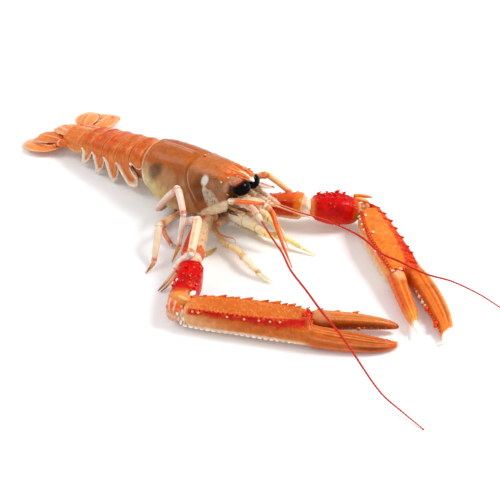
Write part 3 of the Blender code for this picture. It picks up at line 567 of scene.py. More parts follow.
# ================================================================ tail segments
# x of each plate's rear edge, half width, crest z, widest z
TAIL = [
    (-1.0, 10.9, 26.2, 15.6),
    (-9.0, 11.0, 24.9, 15.0),
    (-19.2, 11.1, 22.8, 13.8),
    (-28.9, 11.0, 20.9, 12.8),
    (-38.0, 10.7, 19.0, 11.9),
    (-46.2, 10.3, 17.2, 11.0),
    (-64.8, 8.3, 12.8, 8.3),
]
# each pleuron's outline seen from the side, from its front top down to the tip and up to its rear top
PLEURA = {
    1: (10.9, [(-1.4, 16.6), (-2.6, 15.8), (-4.2, 15.4), (-6.0, 15.9), (-8.0, 17.2)]),
    2: (11.4, [(-9.2, 13.9), (-7.2, 12.0), (-5.3, 10.6), (-4.4, 8.9), (-4.5, 6.6), (-5.6, 5.0), (-7.8, 3.9), (-10.4, 3.3), (-12.0, 3.9), (-14.4, 6.2), (-17.0, 9.1), (-19.0, 12.6)]),
    3: (11.6, [(-18.4, 12.9), (-18.2, 10.6), (-18.4, 8.4), (-19.2, 5.4), (-20.6, 2.9), (-22.0, 1.1), (-22.9, 0.7), (-23.8, 1.2), (-25.5, 3.4), (-26.7, 6.4), (-27.7, 9.4), (-28.6, 12.2)]),
    4: (11.4, [(-28.6, 11.6), (-29.2, 9.2), (-30.4, 6.2), (-32.8, 3.4), (-34.6, 1.6), (-35.6, 0.9), (-36.3, 1.4), (-36.1, 3.9), (-36.8, 6.8), (-37.4, 9.4), (-37.8, 11.6)]),
    5: (10.9, [(-38.2, 11.2), (-39.4, 9.8), (-41.1, 7.1), (-43.0, 4.7), (-44.6, 3.3), (-46.1, 2.2), (-47.0, 1.9), (-47.4, 2.6), (-47.0, 4.6), (-46.5, 6.9), (-46.2, 9.0), (-46.1, 10.8)]),
    6: (9.9, [(-46.8, 9.8), (-48.0, 8.0), (-50.2, 6.9), (-53.4, 6.1), (-56.6, 5.8), (-58.4, 6.1), (-60.4, 6.7), (-62.6, 7.3), (-64.5, 7.9)]),
}


def tail_bend(x):
    return np.where(x > -46, 0.0, 0.0030 * (x + 46) ** 2)


def tail_at(x):
    t = np.array(TAIL)[::-1]
    return [np.interp(x, t[:, 0], t[:, k]) for k in (1, 2, 3)]


def tail_segment(number):
    front, rear = TAIL[number - 1][0] - 0.3, TAIL[number][0] + 0.3
    tip_y, outline = PLEURA[number]
    belly = {1: 7.2, 2: 6.6, 3: 6.0, 4: 5.6, 5: 5.2, 6: 4.6}[number]
    border_line = spline([(a, b, 0) for a, b in outline], 72)[:, :2]
    share = np.linspace(0, 1, 72)
    low_z = border_line[:, 1].min()
    halves = []
    for side in (-1, 1):
        rings = []
        for t, (ox, oz) in zip(share, border_line):
            x = front + t * (rear - front)
            a, crest, mid = tail_at(x)
            h = crest - mid
            y0 = float(tail_bend(np.array(x)))
            top_z = max(mid, oz + 0.9)
            oy = a + (tip_y - a) * np.clip((mid - oz) / max(mid - low_z, 1.0), 0, 1) - 0.15
            arch = [(x, 0, crest), (x, 0.22 * a, crest - 0.018 * h), (x, 0.40 * a, crest - 0.06 * h), (x, 0.74 * a, crest - 0.27 * h),
                    (x, 0.94 * a, crest - 0.60 * h), (x, a, mid)]
            if top_z > mid:
                arch = arch[:-1] + [(x, 0.985 * a, top_z)] if top_z < crest - 0.62 * h else arch[:-1]
            last = arch[-1]
            plate = [last, (0.45 * last[0] + 0.55 * ox, 0.45 * last[1] + 0.55 * oy + 0.10, 0.45 * last[2] + 0.55 * oz), (ox, oy, oz)]
            under_x = 0.5 * (x + ox)
            lip = [(ox, oy - 0.55, oz + 0.05), (ox, oy - 1.1, oz + 0.5), (under_x, 0.86 * a, max(0.5 * (oz + mid), oz + 0.8) if oz < mid - 2 else mid - 1.5),
                   (x, 0.78 * a, min(belly + 1.4, mid - 0.6)), (x, 0.4 * a, belly), (x, 0, belly)]
            ring = np.concatenate([spline(arch, 34), spline(plate, 18)[1:], spline(lip, 18)])
            rings.append([(q[0], y0 + side * q[1], q[2]) for q in ring])
        halves.append(np.array(rings))
    n_half = halves[0].shape[1]
    P = np.concatenate([halves[0], halves[1][:, 1:-1][:, ::-1]], axis=1)
    order = np.concatenate([np.arange(n_half), np.arange(n_half - 2, 0, -1)])
    order = np.broadcast_to(order, P.shape[:2])
    outer = (order <= 51).astype(float)          # the outside, down to the pleuron's edge
    inner = (order >= 52).astype(float)
    T = np.broadcast_to(share[:, None], P.shape[:2])
    X, Y, Z = P[..., 0], P[..., 1] - tail_bend(P[..., 0]), P[..., 2]
    mid = tail_at(X)[2]
    arch_part = (1 - smooth(order, 30, 38)) * outer
    back = arch_part
    lift = 0.0 * T
    lift = lift - 0.45 * (1 - smooth(T, 0.02, 0.14)) * back          # facet that slides under the plate in front
    lift = lift + 0.30 * smooth(T, 0.88, 0.97) * back * (1 - 0.5 * smooth(T, 0.985, 1.0))   # raised rear rim
    lift = lift - 0.24 * bell(T, 0.22, 0.035) * back * (number < 6)
    lift = lift - 0.18 * bell(T, 0.60, 0.05) * back * (number in (2, 3, 4, 5)) * smooth(np.abs(Y), 2, 5)
    lift = lift + 0.22 * (fbm(P, 3.2, 60 + number) - 0.5) + 0.12 * (fbm(P, 1.1, 70 + number) - 0.5)
    lift = lift + 0.06 * grains(P, 0.8, 80 + number, 0.5)
    # the fold between the arch and the pleuron, the raised middle of the pleuron and its thickened edge
    edge_d, edge_at = curve_distance(X, Z, border_line)
    lift = lift - 0.20 * bell(order, 36, 2.4) * outer * (number > 1)
    lift = lift + 0.16 * bell(edge_d, 0.35, 0.4) * (order > 34) * outer - 0.16 * bell(edge_d, 1.7, 0.5) * (order > 36) * outer
    if number == 6:
        lift = lift - 0.28 * bell(np.abs(Y), 2.6, 0.6) * smooth(T, 0.1, 0.3) * (Z > 9)
        lift = lift + 0.22 * bell(np.abs(Y), 0.0, 0.9) * smooth(T, 0.1, 0.3) * (Z > 9)
        lift = lift - 0.22 * bell(np.abs(Y), 6.2, 0.6) * smooth(T, 0.1, 0.3) * (Z > 9)
    # each plate's rear edge lies over the next one's front
    stretch = smooth(T, 0.80, 1.0) * back * (0.9 if number < 6 else 0.5)
    under = (1 - smooth(T, 0.0, 0.12)) * back * 1.0
    P = push(P, lift)
    P[..., 0] += under - stretch
    P[..., 2] -= 0.28 * under
    # colours
    wt = T + 0.12 * (fbm(P, 3.0, 90 + number) - 0.5)
    base = {1: rgb(202, 92, 34), 2: rgb(206, 98, 40), 3: rgb(208, 92, 34), 4: rgb(206, 84, 26), 5: rgb(206, 90, 34), 6: rgb(222, 112, 44)}[number]
    c = np.broadcast_to(base, P.shape).copy()
    mott = fbm(P, 2.6, 100 + number)
    c = over(c, rgb(192, 74, 18), smooth(mott, 0.48, 0.70) * 0.50 * (number < 6))
    c = over(c, rgb(226, 136, 74), (1 - smooth(mott, 0.28, 0.46)) * 0.55)
    c = over(c, rgb(190, 70, 20), bell(wt, 0.74, 0.13) * back * 0.45 * (number < 6))
    c = over(c, rgb(226, 150, 92), bell(wt, 0.27, 0.04) * back * 0.40)
    c = over(c, rgb(164, 56, 18), bell(wt, 0.15, 0.04) * back * 0.55)
    c = over(c, rgb(150, 52, 18), (1 - smooth(T, 0.02, 0.07)) * back * 0.55)
    c = over(c, rgb(236, 170, 118), smooth(T, 0.945, 0.98) * back * 0.62 * smooth(fbm(P, 2.2, 97), 0.30, 0.50))      # thin pale rear line
    # lower sides: lighter, then the pleuron with its white borders
    c = over(c, rgb(214, 124, 62), bell(order + 6 * (mott - 0.5), 30, 5) * outer * 0.55)
    plate = smooth(order, 33, 38) * outer
    c = over(c, rgb(198, 104, 48), plate * 0.65)
    c = over(c, rgb(216, 140, 84), plate * bell(edge_d, 2.4, 0.8) * 0.7)
    if number < 6:
        width = np.interp(edge_at, [0, 0.30, 0.45, 0.62, 1.0], [0.35, 0.7, 2.0, 2.8, 2.0])
        if number == 2:
            width = np.interp(edge_at, [0, 0.12, 0.3, 0.7, 1.0], [0.8, 1.6, 2.2, 2.3, 1.8])
        if number == 1:
            width = 0.5 + 0 * edge_at
        c = over(c, rgb(238, 224, 202), plate * (1 - smooth(edge_d + 0.7 * (mott - 0.5), width * 0.25, width * 1.5)) * np.interp(edge_at, [0, 0.25, 0.45, 1], [0.6, 0.7, 0.94, 0.94]))
        c = over(c, rgb(248, 234, 214), bell(T, 0.985, 0.05) * bell(order, 36, 3.0) * 0.9)      # white at the hinge
    else:
        c = over(c, rgb(222, 128, 58), plate * 0.75)
        c = over(c, rgb(240, 178, 116), plate * (1 - smooth(edge_d, 0.3, 1.3)) * 0.55)
        c = over(c, rgb(206, 96, 36), bell(np.abs(Y), 3.4, 1.0) * (Z > 9) * 0.45)
        c = over(c, rgb(240, 168, 104), bell(np.abs(Y), 0.0, 1.1) * (Z > 9) * 0.4)
        c = over(c, rgb(248, 206, 160), smooth(T, 0.965, 0.985) * back * 0.8)
    # inside: warm skin high up, its dark brown partly painted shade between the plates; pale muscle below
    skin_with_shade = over(np.broadcast_to(rgb(168, 96, 56), P.shape), rgb(230, 194, 158), (1 - smooth(Z, belly + 0.6, belly + 3.0)))
    skin_with_shade = over(skin_with_shade, rgb(206, 140, 100), smooth(fbm(P, 1.6, 120), 0.45, 0.7) * 0.35)
    c = over(c, skin_with_shade, inner)
    c = c * (1 + 0.20 * (fbm(P, 1.0, 130) - 0.5))[..., None]
    piece = Piece(f"tail_plate_{number}", [f"abdomen_{number}"], "shell_orange", LOOK["tail"])
    piece.grid(P, c, 0.5 + 0.4 * (fbm(P, 3, 140) - 0.5))
    # hinge knobs
    if number < 6:
        for s in (-1, 1):
            a, crest, mid0 = tail_at(rear + 0.2)
            kz = {1: 16.6}.get(number, float(outline[-1][1]) + 0.3)
            piece.bead((rear + 0.1, s * (a - 0.05) + float(tail_bend(np.array(rear))), kz), (0.85, 0.5, 0.7), rgb(246, 232, 212), rings=8, around=12)
    # small swimming legs under the plate
    middle = 0.5 * (front + rear)
    if 1 < number < 6:
        for s in (-1, 1):
            for second, y in ((0, 5.6), (1, 4.0)):
                x0 = middle - 0.5 + second
                y0 = float(tail_bend(np.array(x0)))
                swim = [(x0, y0 + s * y, belly + 0.6, 0.8, 0.6), (x0 - 1.5, y0 + s * (y + 0.2), belly - 0.9, 1.1, 0.45),
                        (x0 - 4.0, y0 + s * (y + 0.6), belly - 1.9, 1.5, 0.35), (x0 - 7.0, y0 + s * (y + 0.6), belly - 2.2, 1.1, 0.25),
                        (x0 - 9.0, y0 + s * (y + 0.4), belly - 2.3, 0.25, 0.12)]
                d = spline(swim, 14)
                _, side_v, top_v = frames(d[:, :3], UP)
                a = np.arange(10) * 2 * np.pi / 10
                pp = d[:, None, :3] + np.cos(a)[None, :, None] * d[:, 3][:, None, None] * side_v[:, None] + np.sin(a)[None, :, None] * d[:, 4][:, None, None] * top_v[:, None]
                cc = over(np.broadcast_to(rgb(232, 190, 150), pp.shape), rgb(220, 120, 66), smooth(np.linspace(0, 1, 14), 0.5, 1.0)[:, None] * np.ones((1, 10)))
                piece.grid(pp, cc, 0.5)
    piece.done()


for number in range(1, 7):
    tail_segment(number)


# ================================================================ tail fan
def blade(name, node, rows, thick, kind="blade", colours=None, spots=(), bars=()):
    """A thin rounded plate along a centre line (x, y, z, half width), with a raised rib, edge bristles and colour zones."""
    rows = np.array(rows, float)
    deep = np.minimum(0.5 * thick * np.linspace(1.0, 0.6, len(rows)), 0.45 * rows[:, 3])
    data = spline(np.column_stack([rows, deep]), 80)
    tangent, side, _ = frames(data[:, :3], UP)
    u = np.arange(72) * 2 * np.pi / 72
    cu, su = np.cos(u), np.sin(u)
    su = np.sign(su) * np.abs(su) ** 0.8
    P = (data[:, None, :3] + cu[None, :, None] * data[:, 3][:, None, None] * side[:, None]
         + su[None, :, None] * (data[:, 4][:, None] * (1 - 0.55 * cu[None, :] ** 4))[..., None] * UP)
    A = np.broadcast_to(cu, P.shape[:2])
    S = np.broadcast_to(np.linspace(0, 1, 80)[:, None], P.shape[:2])
    up = (np.broadcast_to(su, S.shape) > 0).astype(float)
    lift = 0.0 * S
    if kind == "blade":
        lift = lift + up * (0.34 * bell(A, 0.05 - 0.1 * S, 0.10) - 0.16 * bell(A, 0.26, 0.09) - 0.16 * bell(A, -0.20, 0.09)) * (1 - smooth(S, 0.78, 0.96)) * smooth(S, 0.05, 0.2)
        lift = lift + up * 0.07 * np.cos(A * 24 + 3 * S) * smooth(np.abs(A), 0.3, 0.5) * (1 - smooth(S, 0.85, 1.0))
    else:
        lift = lift + up * (0.45 * bell(np.abs(A), 0.42, 0.10) * (1 - smooth(S, 0.72, 0.9)) - 0.30 * bell(A, 0, 0.22) * smooth(S, 0.1, 0.3))
        lift = lift + up * 0.25 * bell(np.abs(A), 0.85, 0.08) * (1 - smooth(S, 0.8, 0.95))
    lift = lift + (0.12 * (fbm(P, 2.4, 7) - 0.5) + 0.06 * (fbm(P, 0.8, 8) - 0.5)) * (1 - smooth(S, 0.9, 1.0))
    for s0, w, deep_, _ in bars:
        lift = lift + up * deep_ * bell(S + 0.03 * A, s0, w)
    P = push(P, lift)
    P[..., 2] = np.maximum(P[..., 2], 0.2)
    main, edge, root, end = colours
    c = np.broadcast_to(main, P.shape).copy()
    m = fbm(P, 2.6, 31)
    c = over(c, root, (1 - smooth(S + 0.2 * (m - 0.5), 0.05, 0.5)) * 0.9)
    c = over(c, end, smooth(S + 0.25 * (m - 0.5), 0.62, 0.98) * 0.85)
    c = over(c, edge, smooth(np.abs(A), 0.80, 0.97) * 0.8)
    if kind == "blade":
        c = over(c, rgb(208, 84, 36), bell(A, 0.18, 0.09) * (1 - smooth(S, 0.66, 0.92)) * 0.75)
        c = over(c, rgb(248, 208, 166), bell(A, 0.0, 0.08) * (1 - smooth(S, 0.66, 0.92)) * 0.6)
        c = over(c, rgb(210, 96, 48), bell(np.mod(A * 5.2 + 0.3 * S, 1.0), 0.5, 0.14) * 0.28 * smooth(S, 0.2, 0.5))
    else:
        c = over(c, rgb(214, 96, 34), bell(A, 0, 0.25) * (1 - smooth(S, 0.8, 1.0)) * 0.6)
        c = over(c, rgb(250, 206, 160), bell(np.abs(A), 0.42, 0.10) * (1 - smooth(S, 0.75, 0.9)) * 0.55)
        c = over(c, rgb(210, 84, 34), bell(np.abs(A), 0.66, 0.08) * (1 - smooth(S, 0.8, 0.95)) * 0.4)
    for s0, w, _, col in bars:
        c = over(c, col, up * bell(S + 0.03 * A, s0, w) * 0.8)
    length = np.linalg.norm(np.diff(data[:, :3], axis=0), axis=1).sum()
    for s0, a0, r, col in spots:
        d = np.hypot((S - s0) * length / r, (A - a0) * rows[:, 3].max() / r)
        c = over(c, col, (1 - smooth(d, 0.5, 1.2)) * up)
    c = c * (1 + 0.18 * (m - 0.5))[..., None]
    piece = Piece(name, [node], "tail_fan", LOOK["fan"])
    piece.grid(P, c, 0.5)
    # a fringe of fine bristles round the end
    where = np.concatenate([[0.0], np.cumsum(np.linalg.norm(np.diff(P[:, 0], axis=0), axis=1))])
    for sgn, j in ((1, 0), (-1, 36)):
        edge_len = np.concatenate([[0.0], np.cumsum(np.linalg.norm(np.diff(P[:, j], axis=0), axis=1))])
        start = 0.34 * edge_len[-1]
        count = int((edge_len[-1] - start) / 0.24)
        for k in range(count):
            i = int(np.interp(start + k * 0.24, edge_len, np.arange(80)))
            i = min(i, 79)
            root_p = P[i, j]
            mixw = smooth(S[i, 0], 0.55, 1.0)
            way = sgn * side[i] * (1 - 0.7 * mixw) + tangent[i] * (0.35 + 0.9 * mixw)
            way /= np.linalg.norm(way)
            wob = scatter(k, 3 + sgn, 7, 5) - 0.5
            ln = (1.0 + 0.7 * mixw) * (0.8 + 0.5 * scatter(k, sgn, 2, 9))
            piece.hair([root_p - 0.25 * way, root_p + 0.5 * ln * way, root_p + ln * way + (0, 0, 0.15 * wob - 0.1)], 0.07,
                       rgb(232, 166, 118), rgb(248, 216, 184), 3)
    return piece


FAN = (rgb(234, 148, 84), rgb(248, 196, 150), rgb(226, 118, 54), rgb(246, 194, 154))
TEL = (rgb(228, 136, 66), rgb(246, 186, 136), rgb(224, 112, 42), rgb(246, 182, 142))
fan = blade("telson_blade", "telson", [(-65.4, 1.3, 8.4, 5.3), (-67.0, 1.6, 8.0, 6.0), (-71.2, 2.7, 6.9, 6.1), (-76.2, 4.0, 5.7, 5.9), (-80.0, 5.1, 4.9, 5.4), (-82.2, 5.7, 4.4, 4.3),
                                       (-83.2, 6.0, 4.2, 3.0), (-83.7, 6.1, 4.1, 1.6)], 2.4, kind="telson", colours=TEL,
            spots=((0.12, -0.5, 1.0, rgb(252, 214, 168)), (0.12, 0.5, 1.0, rgb(252, 214, 168))))
for s in (-1, 1):
    fan.cone((-79.4, 4.8 + s * 4.9, 4.8), (-1, 0.28 + 0.1 * s, -0.1), 1.6, 0.45, rgb(236, 160, 110), TIPC)
fan.done()
blade("fan_blade_inner_r", "uropod_in_r", [(-67.4, -6.6, 5.7, 1.2), (-69.0, -6.3, 5.7, 3.0), (-73.0, -6.3, 5.2, 5.3), (-77.0, -6.6, 4.8, 6.5), (-80.3, -7.2, 4.4, 6.3), (-82.8, -7.9, 4.1, 4.9),
                                           (-84.2, -8.4, 4.0, 2.9), (-84.8, -8.6, 3.95, 1.1)], 1.2,
      colours=(rgb(216, 116, 48), rgb(238, 164, 108), rgb(200, 78, 24), rgb(232, 146, 90))).done()
blade("fan_blade_outer_r", "uropod_out_r", [(-66.4, -10.0, 4.6, 1.3), (-67.8, -11.4, 4.3, 3.4), (-70.8, -12.6, 3.7, 5.8), (-75.0, -13.0, 3.2, 7.3), (-79.6, -13.1, 2.8, 7.8), (-83.2, -13.3, 2.4, 7.0),
                                            (-86.0, -13.9, 2.0, 4.7), (-87.6, -13.9, 1.9, 2.8), (-88.3, -13.9, 1.85, 1.1)], 1.2,
      colours=(rgb(232, 142, 76), rgb(246, 190, 144), rgb(226, 112, 46), rgb(250, 200, 170)),
      bars=((0.79, 0.018, -0.12, rgb(222, 116, 84)),)).done()
blade("fan_blade_inner_l", "uropod_in_l", [(-70.1, 11.2, 6.7, 2.0), (-72.4, 13.2, 6.6, 4.6), (-74.6, 16.0, 6.5, 5.8), (-76.6, 19.2, 6.4, 6.0), (-78.2, 22.2, 6.2, 5.0), (-79.4, 24.6, 6.1, 3.2),
                                           (-79.9, 25.7, 6.0, 1.3)], 1.1, colours=FAN).done()
# far outer blade: its first, pale spot is a painted highlight
blade("fan_blade_outer_l", "uropod_out_l", [(-67.6, 14.0, 5.3, 2.4), (-68.0, 17.4, 5.2, 6.4), (-69.2, 21.4, 5.0, 8.3), (-70.4, 24.6, 4.9, 8.4), (-71.4, 27.4, 4.8, 8.2), (-72.2, 29.4, 4.7, 7.6),
                                            (-72.9, 31.0, 4.6, 6.2), (-73.3, 31.8, 4.5, 3.9)], 1.1, colours=FAN,
      spots=((0.47, 0.10, 1.2, rgb(254, 226, 186)), (0.42, 0.02, 0.9, rgb(222, 120, 40)), (0.82, -0.45, 1.8, rgb(232, 110, 76))), bars=((0.80, 0.018, -0.12, rgb(232, 140, 104)),)).done()


# ================================================================ limbs
def ringset(rows, around, along, power=2.0, up=UP, axis=None):
    """Rings of a limb with each vertex's place: A across (-1..1), B up (-1..1), T along (0..1)."""
    data = spline(rows, along)
    _, side, top = frames(data[:, :3], np.asarray(up, float))
    if axis is not None:
        side = np.broadcast_to(np.cross(UP, (*axis, 0.0)), side.shape)
        top = np.broadcast_to(UP, top.shape)
    turn = np.arange(around) * 2 * np.pi / around
    c, s = np.cos(turn), np.sin(turn)
    wide = np.sign(c) * np.abs(c) ** (2 / power)
    high = np.sign(s) * np.abs(s) ** (2 / power)
    P = (data[:, None, :3] + wide[None, :, None] * data[:, 3][:, None, None] * side[:, None]
         + high[None, :, None] * data[:, 4][:, None, None] * top[:, None])
    shape = P.shape[:2]
    return (P, np.broadcast_to(wide, shape), np.broadcast_to(high, shape),
            np.broadcast_to(np.linspace(0, 1, along)[:, None], shape), data, side, top)


def base_pieces():
    for node, rows in (("uropod_base_r", [(-60.4, -7.2, 7.4, 1.2, 1.2), (-61.6, -7.8, 7.3, 1.9, 1.8), (-63.2, -8.5, 7.0, 2.4, 2.2), (-65.2, -9.2, 6.6, 2.4, 2.1), (-67.2, -10.0, 6.0, 1.5, 1.2)]),
                       ("uropod_base_l", [(-62.2, 11.2, 6.5, 1.2, 1.2), (-63.2, 11.9, 6.4, 1.8, 1.8), (-64.6, 12.6, 6.2, 2.2, 2.1), (-67.0, 13.2, 6.2, 2.3, 1.8), (-69.2, 13.8, 6.0, 1.6, 1.2)])):
        P, A, B, T, *_ = ringset(rows, 28, 30, 2.2)
        P = push(P, 0.15 * (fbm(P, 1.5, 5) - 0.5) - 0.25 * bell(T, 0.62, 0.06))
        c = np.broadcast_to(rgb(222, 110, 50), P.shape).copy()
        c = over(c, rgb(246, 218, 188), bell(T, 0.76, 0.05) * (B > -0.2) * 0.8)
        c = over(c, rgb(206, 80, 34), bell(T, 0.50, 0.14) * (B > 0.0) * 0.6)
        c = over(c, rgb(228, 132, 72), (1 - smooth(T, 0.04, 0.30)) * 0.8)
        p = Piece("fan_joint" + node[-2:], [node], "tail_fan", LOOK["fan"])
        p.grid(P, c, 0.6)
        s = -1 if node.endswith("r") else 1
        p.cone((-66.8, s * 11.4 + (0.8 if s > 0 else 0), 5.7), (-1, 0.5 * s, 0.15), 1.6, 0.6, rgb(226, 130, 74), TIPC)
        p.done()


base_pieces()


# ================================================================ eyes
def eye(side, centre, deep, wide):
    """Kidney-shaped glossy black eye on a short pinkish stalk."""
    centre = np.array(centre)
    s = side
    u = -np.pi / 2 + np.pi * (np.arange(44) + 0.3) / 43.6
    a = np.arange(56) * 2 * np.pi / 56
    ax = np.array([1.0, 0.0, 0.0])
    x = np.sin(u)[:, None] * np.ones(56)
    y = np.cos(u)[:, None] * np.cos(a)
    z = np.cos(u)[:, None] * np.sin(a)
    P = centre + np.stack([x * deep, y * wide, z * 3.6], -1)
    # the stalk's seat: a shallow dent on the upper, inner rear
    seat = np.array([-0.55, 0.12 * s, 0.82]) if s < 0 else np.array([-0.75, -0.35, 0.55])
    seat /= np.linalg.norm(seat)
    n = np.stack([x, y, z], -1)
    d = np.sqrt(((n - seat) ** 2).sum(-1) + 0.001)
    P = push(P, -0.55 * (1 - smooth(d, 0.35, 0.85)))
    c = np.broadcast_to(rgb(10, 6, 6), P.shape).copy()
    c = over(c, rgb(126, 44, 36), bell(d, 0.78, 0.13) * 0.85)
    c = over(c, rgb(176, 112, 84) if s < 0 else rgb(196, 76, 66), 1 - smooth(d, 0.60, 0.76))
    c = over(c, rgb(196, 146, 112) if s < 0 else rgb(222, 128, 96), (1 - smooth(d, 0.30, 0.55)) * 0.6)
    p = Piece("eye_ball_" + ("l" if s > 0 else "r"), ["eye_l" if s > 0 else "eye_r"], "eye_black", LOOK["eye"])
    p.grid(P, c, 1.0 - 0.6 * (1 - smooth(d, 0.6, 0.8)))
    # the stalk
    if s < 0:
        rows = [centre + (-5.6, 0.6, 0.6), centre + (-4.2, 0.5, 1.2), centre + (-2.6, 0.3, 2.0), centre + (-1.3, 0.1, 2.6), centre + (-0.4, 0.0, 2.9)]
        rr = [(2.4, 2.0), (2.6, 2.0), (2.7, 1.6), (2.2, 1.0), (0.9, 0.35)]
    else:
        rows = [centre + (-5.0, -1.6, 0.8), centre + (-3.8, -1.5, 1.2), centre + (-2.6, -1.3, 1.6), centre + (-1.7, -1.1, 1.9), centre + (-1.0, -0.9, 2.0)]
        rr = [(2.0, 1.8), (2.1, 1.7), (2.1, 1.4), (1.6, 1.0), (0.7, 0.35)]
    Q, A, B, T, *_ = ringset([(*r, *w) for r, w in zip(rows, rr)], 26, 26, 2.0)
    Q = push(Q, 0.12 * (fbm(Q, 1.2, 4) - 0.5))
    cc = over(np.broadcast_to(rgb(182, 122, 92), Q.shape), rgb(206, 150, 112), smooth(fbm(Q, 0.9, 6), 0.45, 0.7))
    cc = over(cc, rgb(168, 74, 54), smooth(T, 0.75, 1.0) * 0.7)
    p.grid(Q, cc, 0.5)
    return p


eye(-1, (58.8, -6.2, 28.7), 4.1, 4.5).done()
eye(1, (58.0, 2.4, 27.7), 3.2, 3.6).done()


# ================================================================ antennae, scales, antennules
def stripes(T, points, width):
    out = 0.0 * T
    for p in points:
        out = np.maximum(out, bell(T, p, width))
    return out


def peduncle(name, node, rows, joints, side):
    P, A, B, T, *_ = ringset(rows, 32, 70, 2.1)
    lift = 0.0 * T
    for j in joints:
        lift = lift - 0.35 * bell(T, j, 0.022) + 0.16 * bell(T, j - 0.05, 0.03)
    P = push(P, lift + 0.14 * (fbm(P, 1.4, 6) - 0.5))
    c = over(np.broadcast_to(rgb(242, 218, 190), P.shape), rgb(234, 168, 122), smooth(fbm(P, 1.6, 8), 0.50, 0.66) * 0.6)
    c = over(c, rgb(214, 84, 48), stripes(T, joints[1:], 0.025) * smooth(fbm(P, 1.0, 9), 0.42, 0.6) * 0.8)
    c = over(c, rgb(252, 238, 222), stripes(T, [j + 0.055 for j in joints], 0.022) * 0.6)
    # dark brown on the lower side of the root, under the scale: painted shade
    c = over(c, rgb(96, 54, 32), (1 - smooth(T, 0.22, 0.36)) * (1 - smooth(B, -0.1, 0.7)) * 0.9)
    c = over(c, rgb(214, 130, 84), (B < -0.2) * 0.3)
    p = Piece(name, [node], "shell_pink", LOOK["feeler"])
    p.grid(P, c, 0.5)
    return p


PED_R = [(54.6, -8.2, 20.6, 1.8, 1.7), (57.6, -7.9, 21.0, 1.9, 1.8), (61.6, -6.9, 21.4, 1.8, 1.7), (65.4, -6.7, 20.9, 1.7, 1.6), (69.2, -7.5, 19.7, 1.45, 1.35), (72.8, -8.5, 18.1, 1.0, 1.0)]
PED_L = [(54.6, 7.4, 20.0, 1.7, 1.6), (57.6, 6.8, 20.2, 1.8, 1.7), (61.6, 5.7, 20.6, 1.7, 1.6), (65.4, 4.8, 20.8, 1.5, 1.4), (69.2, 4.1, 20.9, 1.25, 1.15), (72.6, 3.5, 20.9, 0.85, 0.85)]
for name, node, rows, s in (("feeler_root_r", "antenna_base_r", PED_R, -1), ("feeler_root_l", "antenna_base_l", PED_L, 1)):
    p = peduncle(name, node, rows, (0.36, 0.58, 0.80), s)
    x0, y0, z0 = rows[1][:3]
    p.bead((x0 - 1.0, y0 + s * 2.6, z0 + 1.6), (1.7, 1.5, 1.5), rgb(242, 212, 180))
    p.bead((x0 - 0.2, y0 + s * 3.2, z0 + 2.3), (1.1, 0.8, 0.8), rgb(236, 134, 66))
    p.cone((x0 + 9.4, y0 + s * 0.9, z0 - 0.6), (1, 0.3 * s, -0.1), 1.1, 0.4, rgb(226, 110, 60), TIPC)
    p.done()

FEELER_R = [(71.6, -7.9, 18.4, 0.62, 0.62), (73.5, -8.9, 18.0, 0.62, 0.62), (84.0, -15.1, 18.2, 0.62, 0.62), (94.4, -20.8, 18.2, 0.66, 0.66),
            (104.6, -27.9, 18.4, 0.68, 0.68), (117.0, -33.4, 17.6, 0.68, 0.68), (128.2, -38.2, 16.2, 0.7, 0.7), (138.3, -41.4, 14.2, 0.66, 0.66),
            (147.0, -44.8, 12.4, 0.6, 0.6), (163.9, -49.2, 4.7, 0.5, 0.5), (174.4, -49.6, 1.6, 0.42, 0.42), (184.0, -50.7, 0.45, 0.3, 0.3)]
FEELER_L = [(71.8, 3.6, 20.9, 0.55, 0.55), (73.3, 3.6, 20.9, 0.50, 0.50), (83.2, 5.8, 20.0, 0.50, 0.50), (94.0, 8.4, 19.8, 0.56, 0.56), (104.4, 9.4, 19.4, 0.62, 0.62),
            (114.0, 9.2, 18.8, 0.75, 0.75), (125.6, 6.5, 17.7, 0.72, 0.72), (133.2, 7.6, 17.0, 0.7, 0.7), (139.6, 9.0, 15.6, 0.66, 0.66),
            (145.8, 11.8, 13.6, 0.62, 0.62), (153.5, 17.6, 10.8, 0.56, 0.56), (163.6, 24.6, 4.8, 0.5, 0.5), (172.2, 26.9, 1.2, 0.44, 0.44),
            (181.0, 26.0, 0.6, 0.38, 0.38), (190.0, 22.4, 0.5, 0.28, 0.28)]
for name, node, rows, slim in (("feeler_long_r", "antenna_r", FEELER_R, 0.68), ("feeler_long_l", "antenna_l", FEELER_L, 0.64)):
    rows = [(*r[:3], r[3] * slim, r[4] * slim) for r in rows]
    P, A, B, T, data, *_ = ringset(rows, 12, 620, 2.0)
    length = np.concatenate([[0], np.cumsum(np.linalg.norm(np.diff(data[:, :3], axis=0), axis=1))])[:, None]
    P = push(P, 0.05 * np.cos(length * 2 * np.pi / 1.15) * np.ones((1, 12)))
    c = np.broadcast_to(rgb(196, 34, 20), P.shape).copy()
    c = over(c, rgb(214, 70, 44), (1 - smooth(T, 0.0, 0.14)) * 0.6)
    c = over(c, rgb(240, 160, 120), (1 - smooth(T, 0.0, 0.03)) * 0.7)
    c = over(c, rgb(152, 16, 14), (0.5 + 0.5 * np.cos(length * 2 * np.pi / 1.15 + 3.14)) * np.ones((1, 12)) * 0.35)
    c = over(c, rgb(206, 60, 44), (B > 0.4) * 0.35)
    # on the left feeler, a pale line on top near the root: painted highlight
    if name.endswith("l"):
        c = over(c, rgb(240, 140, 110), smooth(B, 0.7, 0.9) * (1 - smooth(T, 0.1, 0.25)) * 0.4)
    p = Piece(name, [node], "antenna_red", LOOK["feeler"])
    p.grid(P, c, 0.5)
    p.done()


